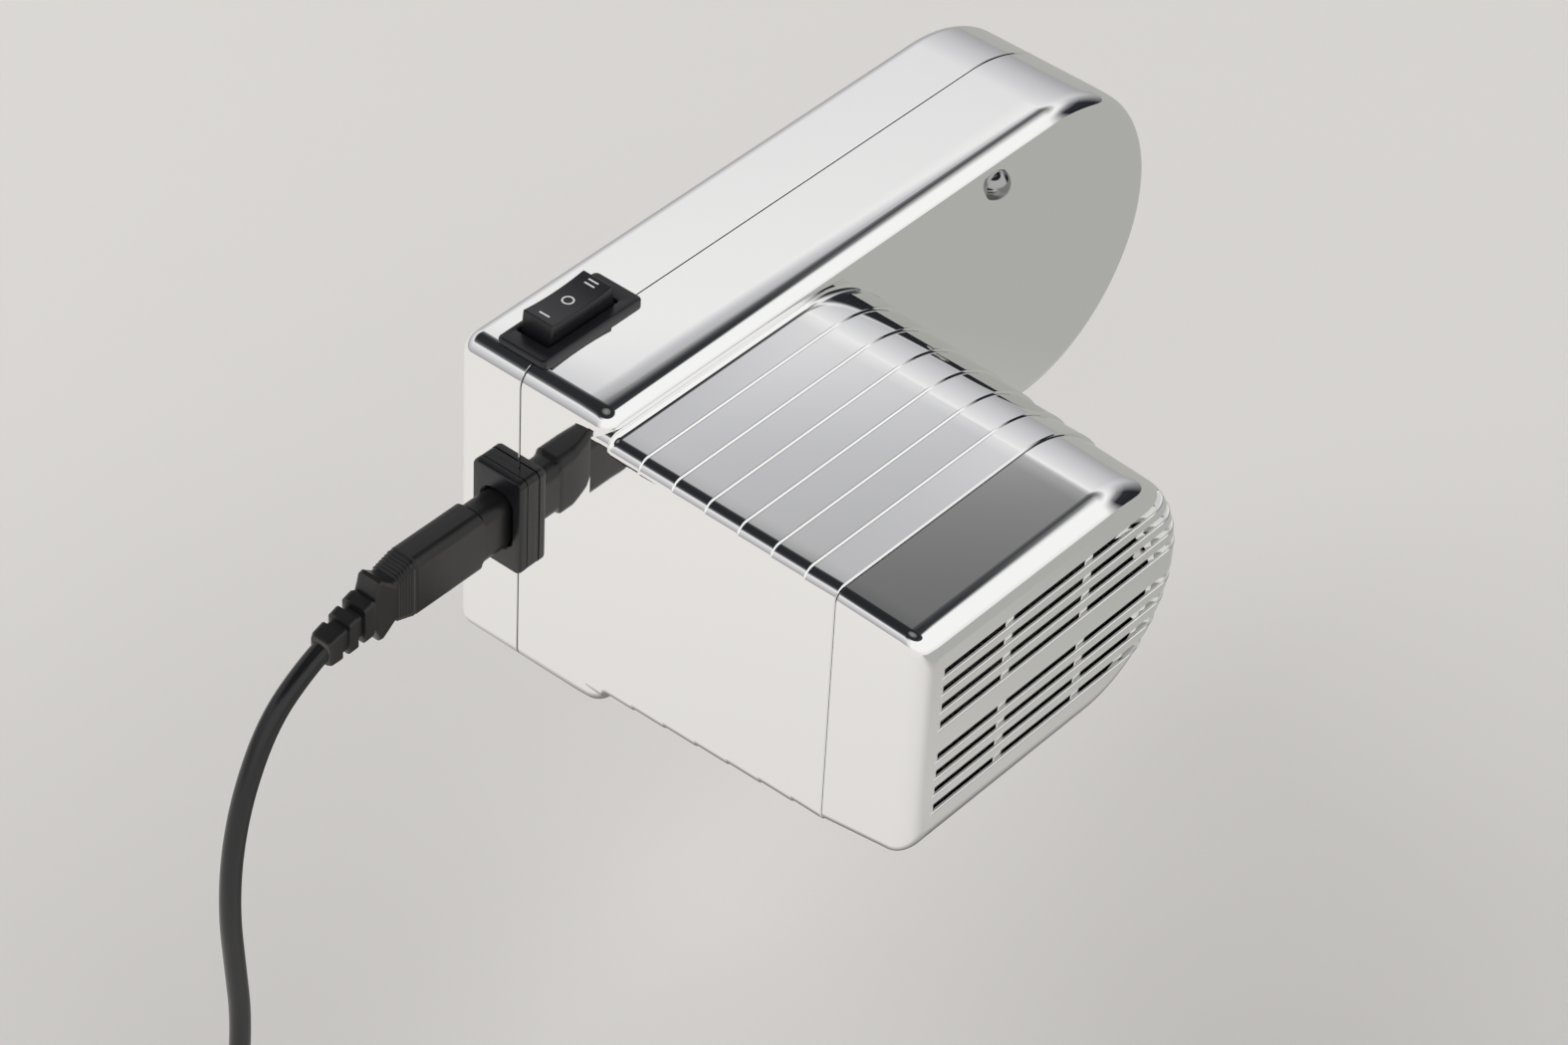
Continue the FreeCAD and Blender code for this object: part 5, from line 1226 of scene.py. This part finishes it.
@dataclass
class Studio:
    """Camera, light and floor, with sizes in metres."""

    eye: Point = (0.62561, -0.82390, 0.77584)
    azimuth: float = 38.477
    elevation: float = 40.728
    roll: float = 3.308
    lens: float = 117.94
    light_target: Point = (0.1, -0.05, 0.0)
    # The world's colours by height: the ceiling, and three walls, two of them under it
    ceiling: Stops = (
        (0.65, "#C8C8CB"), (0.67, "#B8B8BA"), (0.685, "#8A8A8B"), (0.70, "#787879"), (0.74, "#57585A"),
        (0.80, "#303134"), (0.93, "#28292C"), (1.0, "#8A8A8A"))
    machine_side: Stops = (
        (0.0, "#A9A9AB"), (0.12, "#B6B6B9"), (0.25, "#C6C6C9"), (0.45, "#DADADD"), (0.58, "#EAEAEB"),
        (0.625, "#F6F6F6"), (0.64, "#DADADD"))
    behind: Stops = (
        (0.0, "#26282C"), (0.28, "#2E3034"), (0.42, "#8E8E90"), (0.56, "#F4F4F4"), (0.60, "#FFFFFF"))
    cap_side: Stops = (
        (0.0, "#F2F0EE"), (0.20, "#FFFFFF"), (0.765, "#FFFFFF"), (0.79, "#3E3E40"), (0.93, "#28292C"),
        (1.0, "#8A8A8A"))
    # Directions over which the cap side turns into the back, and the machine side into both
    turn_to_back: Flat = (0.66, 0.78)
    turn_to_cap: Flat = (-0.14, 0.28)
    floor_half: float = 4.0
    floor_colour: str = "#DEDBD7"
    tooth_per_metre: float = 900.0
    # Painted reflection of the floor, a glow that only glossy rays see: painted light graded across it, and
    # a painted shadow under the drive
    painted_light_grade: Stops = ((0.0, "#EFECE9"), (0.45, "#E2DFDC"), (1.0, "#B2B2AE"))
    floor_slant: float = 0.48
    floor_span: Flat = (-0.35, 0.2)
    # Painted shadow under the drive: dark at its middle, fading to none at its reach
    shade: Stops = ((0.0, "#9A9896"), (1.0, "#FFFFFF"))
    shade_place: Flat = (0.05, -0.07)
    shade_reach: Flat = (0.09, 0.18)

    def build_camera(self) -> None:
        """Place the camera where the photograph was taken."""
        data = bpy.data.cameras.new("camera")
        data.lens = self.lens
        data.sensor_width = 36.0
        data.sensor_fit = "HORIZONTAL"
        data.clip_end = 20.0
        camera = bpy.data.objects.new("camera", data)
        a, e, r = (math.radians(v) for v in (self.azimuth, self.elevation, self.roll))
        back = Vector((math.sin(a) * math.cos(e), -math.cos(a) * math.cos(e), math.sin(e)))
        right = Vector((math.cos(a), math.sin(a), 0.0))
        up = back.cross(right)
        turned = right * math.cos(r) + up * math.sin(r)
        level = up * math.cos(r) - right * math.sin(r)
        camera.matrix_world = Matrix((
            (turned.x, level.x, back.x, self.eye[0]), (turned.y, level.y, back.y, self.eye[1]),
            (turned.z, level.z, back.z, self.eye[2]), (0, 0, 0, 1)))
        bpy.context.scene.collection.objects.link(camera)
        bpy.context.scene.camera = camera

    def build_world(self) -> None:
        """Surround the object with pale tent walls under a dark ceiling, as chrome is photographed."""
        world = bpy.data.worlds.new("tent")
        world.use_nodes = True
        tree = world.node_tree
        place = add_node(tree, "ShaderNodeTexCoord", {}, {})
        parts = add_node(tree, "ShaderNodeSeparateXYZ", {}, {"Vector": place.outputs["Generated"]})
        left, front, walls = (
            add_node(tree, "ShaderNodeValToRGB", {"stops": stops},
                     {"Fac": parts.outputs["Z"]}).outputs["Color"]
            for stops in (self.machine_side + self.ceiling, self.cap_side, self.behind + self.ceiling))
        for axis, (low, high), wall in (("Y", self.turn_to_back, front), ("X", self.turn_to_cap, left)):
            share = add_node(tree, "ShaderNodeMapRange", {"From Min": low, "From Max": high},
                             {"Value": parts.outputs[axis]})
            mixed = add_node(tree, "ShaderNodeMix", {"data_type": "RGBA"},
                             {MIX_SHARE: share.outputs["Result"], MIX_FIRST: wall, MIX_SECOND: walls})
            walls = mixed.outputs[MIX_COLOUR]
        back = tree.nodes["Background"]
        tree.links.new(walls, back.inputs["Color"])
        back.inputs["Strength"].default_value = 1.0
        bpy.context.scene.world = world

    def build_light(self, name: str, place: Point, size: float, energy: float) -> None:
        """Hang one broad soft light, hidden from reflections.

        Args:
            name: the light's name.
            place: where it hangs, in metres.
            size: its diameter in metres.
            energy: its power in watts.
        """
        data = bpy.data.lights.new(name, "AREA")
        data.shape = "DISK"
        data.size = size
        data.energy = energy
        light = bpy.data.objects.new(name, data)
        light.location = place
        aim = Vector(self.light_target) - Vector(place)
        light.rotation_euler = aim.to_track_quat("-Z", "Y").to_euler()
        light.visible_glossy = False
        bpy.context.scene.collection.objects.link(light)

    def painted_floor_reflection(self, tree: bpy.types.NodeTree,
                         place: bpy.types.NodeSocket) -> bpy.types.NodeSocket:
        """Make the painted reflection of the floor: a colour graded as painted light across it and darkened
        by a painted shadow under the drive.

        Args:
            tree: the floor's node tree.
            place: the place on the floor.

        Returns:
            The colour socket.
        """
        parts = add_node(tree, "ShaderNodeSeparateXYZ", {}, {"Vector": place})
        across = add_node(tree, "ShaderNodeMath", {"operation": "MULTIPLY_ADD", 1: self.floor_slant},
                          {0: parts.outputs["X"], 2: parts.outputs["Y"]})
        centre = (*self.shade_place, FLOOR_Z * MM)
        reach = add_node(tree, "ShaderNodeVectorMath", {"operation": "DISTANCE", 1: centre}, {0: place})
        colours = []
        for value, (low, high), stops in ((across, self.floor_span, self.painted_light_grade),
                                          (reach, self.shade_reach, self.shade)):
            share = add_node(tree, "ShaderNodeMapRange", {"From Min": low, "From Max": high},
                             {"Value": value.outputs["Value"]})
            graded = add_node(tree, "ShaderNodeValToRGB", {"stops": stops}, {"Fac": share.outputs["Result"]})
            colours.append(graded.outputs["Color"])
        # The graded painted light times the painted shadow under the drive
        under = add_node(tree, "ShaderNodeMix",
                         {"data_type": "RGBA", "blend_type": "MULTIPLY", MIX_SHARE: 1.0},
                         {MIX_FIRST: colours[0], MIX_SECOND: colours[1]})
        return under.outputs[MIX_COLOUR]

    def floor_material(self) -> bpy.types.Material:
        """Make the pale paper of the floor; glossy rays see a glowing painted reflection instead, graded as
        painted light and shadow.

        Returns:
            The material.
        """
        material = bpy.data.materials.new("pale_paper_with_painted_reflection")
        material.use_nodes = True
        tree = material.node_tree
        shader = tree.nodes["Principled BSDF"]
        place = add_node(tree, "ShaderNodeTexCoord", {}, {}).outputs["Object"]
        tooth = add_node(tree, "ShaderNodeTexNoise", {"Scale": self.tooth_per_metre, "Detail": 2.0},
                         {"Vector": place})
        raised = add_node(tree, "ShaderNodeBump", {"Strength": 0.05, "Distance": 0.2 * MM},
                          {"Height": tooth.outputs["Fac"]})
        shader.inputs["Base Color"].default_value = linear(self.floor_colour)
        shader.inputs["Roughness"].default_value = 0.9
        tree.links.new(raised.outputs["Normal"], shader.inputs["Normal"])
        # Glossy rays see a glow of painted light and painted shadow in place of the paper
        painted_glow = add_node(tree, "ShaderNodeEmission", {}, {"Color": self.painted_floor_reflection(tree, place)})
        ray = add_node(tree, "ShaderNodeLightPath", {}, {})
        mixed = add_node(tree, "ShaderNodeMixShader", {},
                         {0: ray.outputs["Is Glossy Ray"], 1: shader.outputs["BSDF"],
                          2: painted_glow.outputs["Emission"]})
        tree.links.new(mixed.outputs["Shader"], tree.nodes["Material Output"].inputs["Surface"])
        return material

    def build_floor(self) -> None:
        """Lay the pale floor at the level that the coil lies on."""
        mesh = bpy.data.meshes.new("floor")
        half, level = self.floor_half, FLOOR_Z * MM
        corners = [(-half, -half, level), (half, -half, level), (half, half, level), (-half, half, level)]
        mesh.from_pydata(corners, [], [(0, 1, 2, 3)])
        mesh.materials.append(self.floor_material())
        floor = bpy.data.objects.new("floor", mesh)
        bpy.context.scene.collection.objects.link(floor)

    def build(self) -> None:
        """Build the whole studio."""
        self.build_camera()
        self.build_world()
        self.build_light("left_softbox", (-0.85, -0.55, 1.15), 1.5, 12.0)
        self.build_light("back_softbox", (0.75, 1.05, 1.3), 1.6, 11.5)
        self.build_floor()
        scene = bpy.context.scene
        scene.render.resolution_x = 1575
        scene.render.resolution_y = 1050
        scene.view_settings.view_transform = "Standard"


def dress_nodes() -> None:
    """Give every CAD node the finish of its material slot."""
    for part in frame["record"]["subparts"]:
        node = frame["nodes"][part["node"]]
        finish = SLOT_FINISH[part["material_slot"]]
        node.data.materials.clear()
        node.data.materials.append(PALETTE.get(finish))


def main() -> None:
    """Build the scene."""
    logging.basicConfig(level=logging.INFO)
    dress_nodes()
    case = Case()
    case.build()
    Cap().build(case.barrel_outline(case.ring_count + 1))
    for part in (Switch(), Inlet(), Lead(), Studio()):
        part.build()


if __name__ == "__main__":
    main()
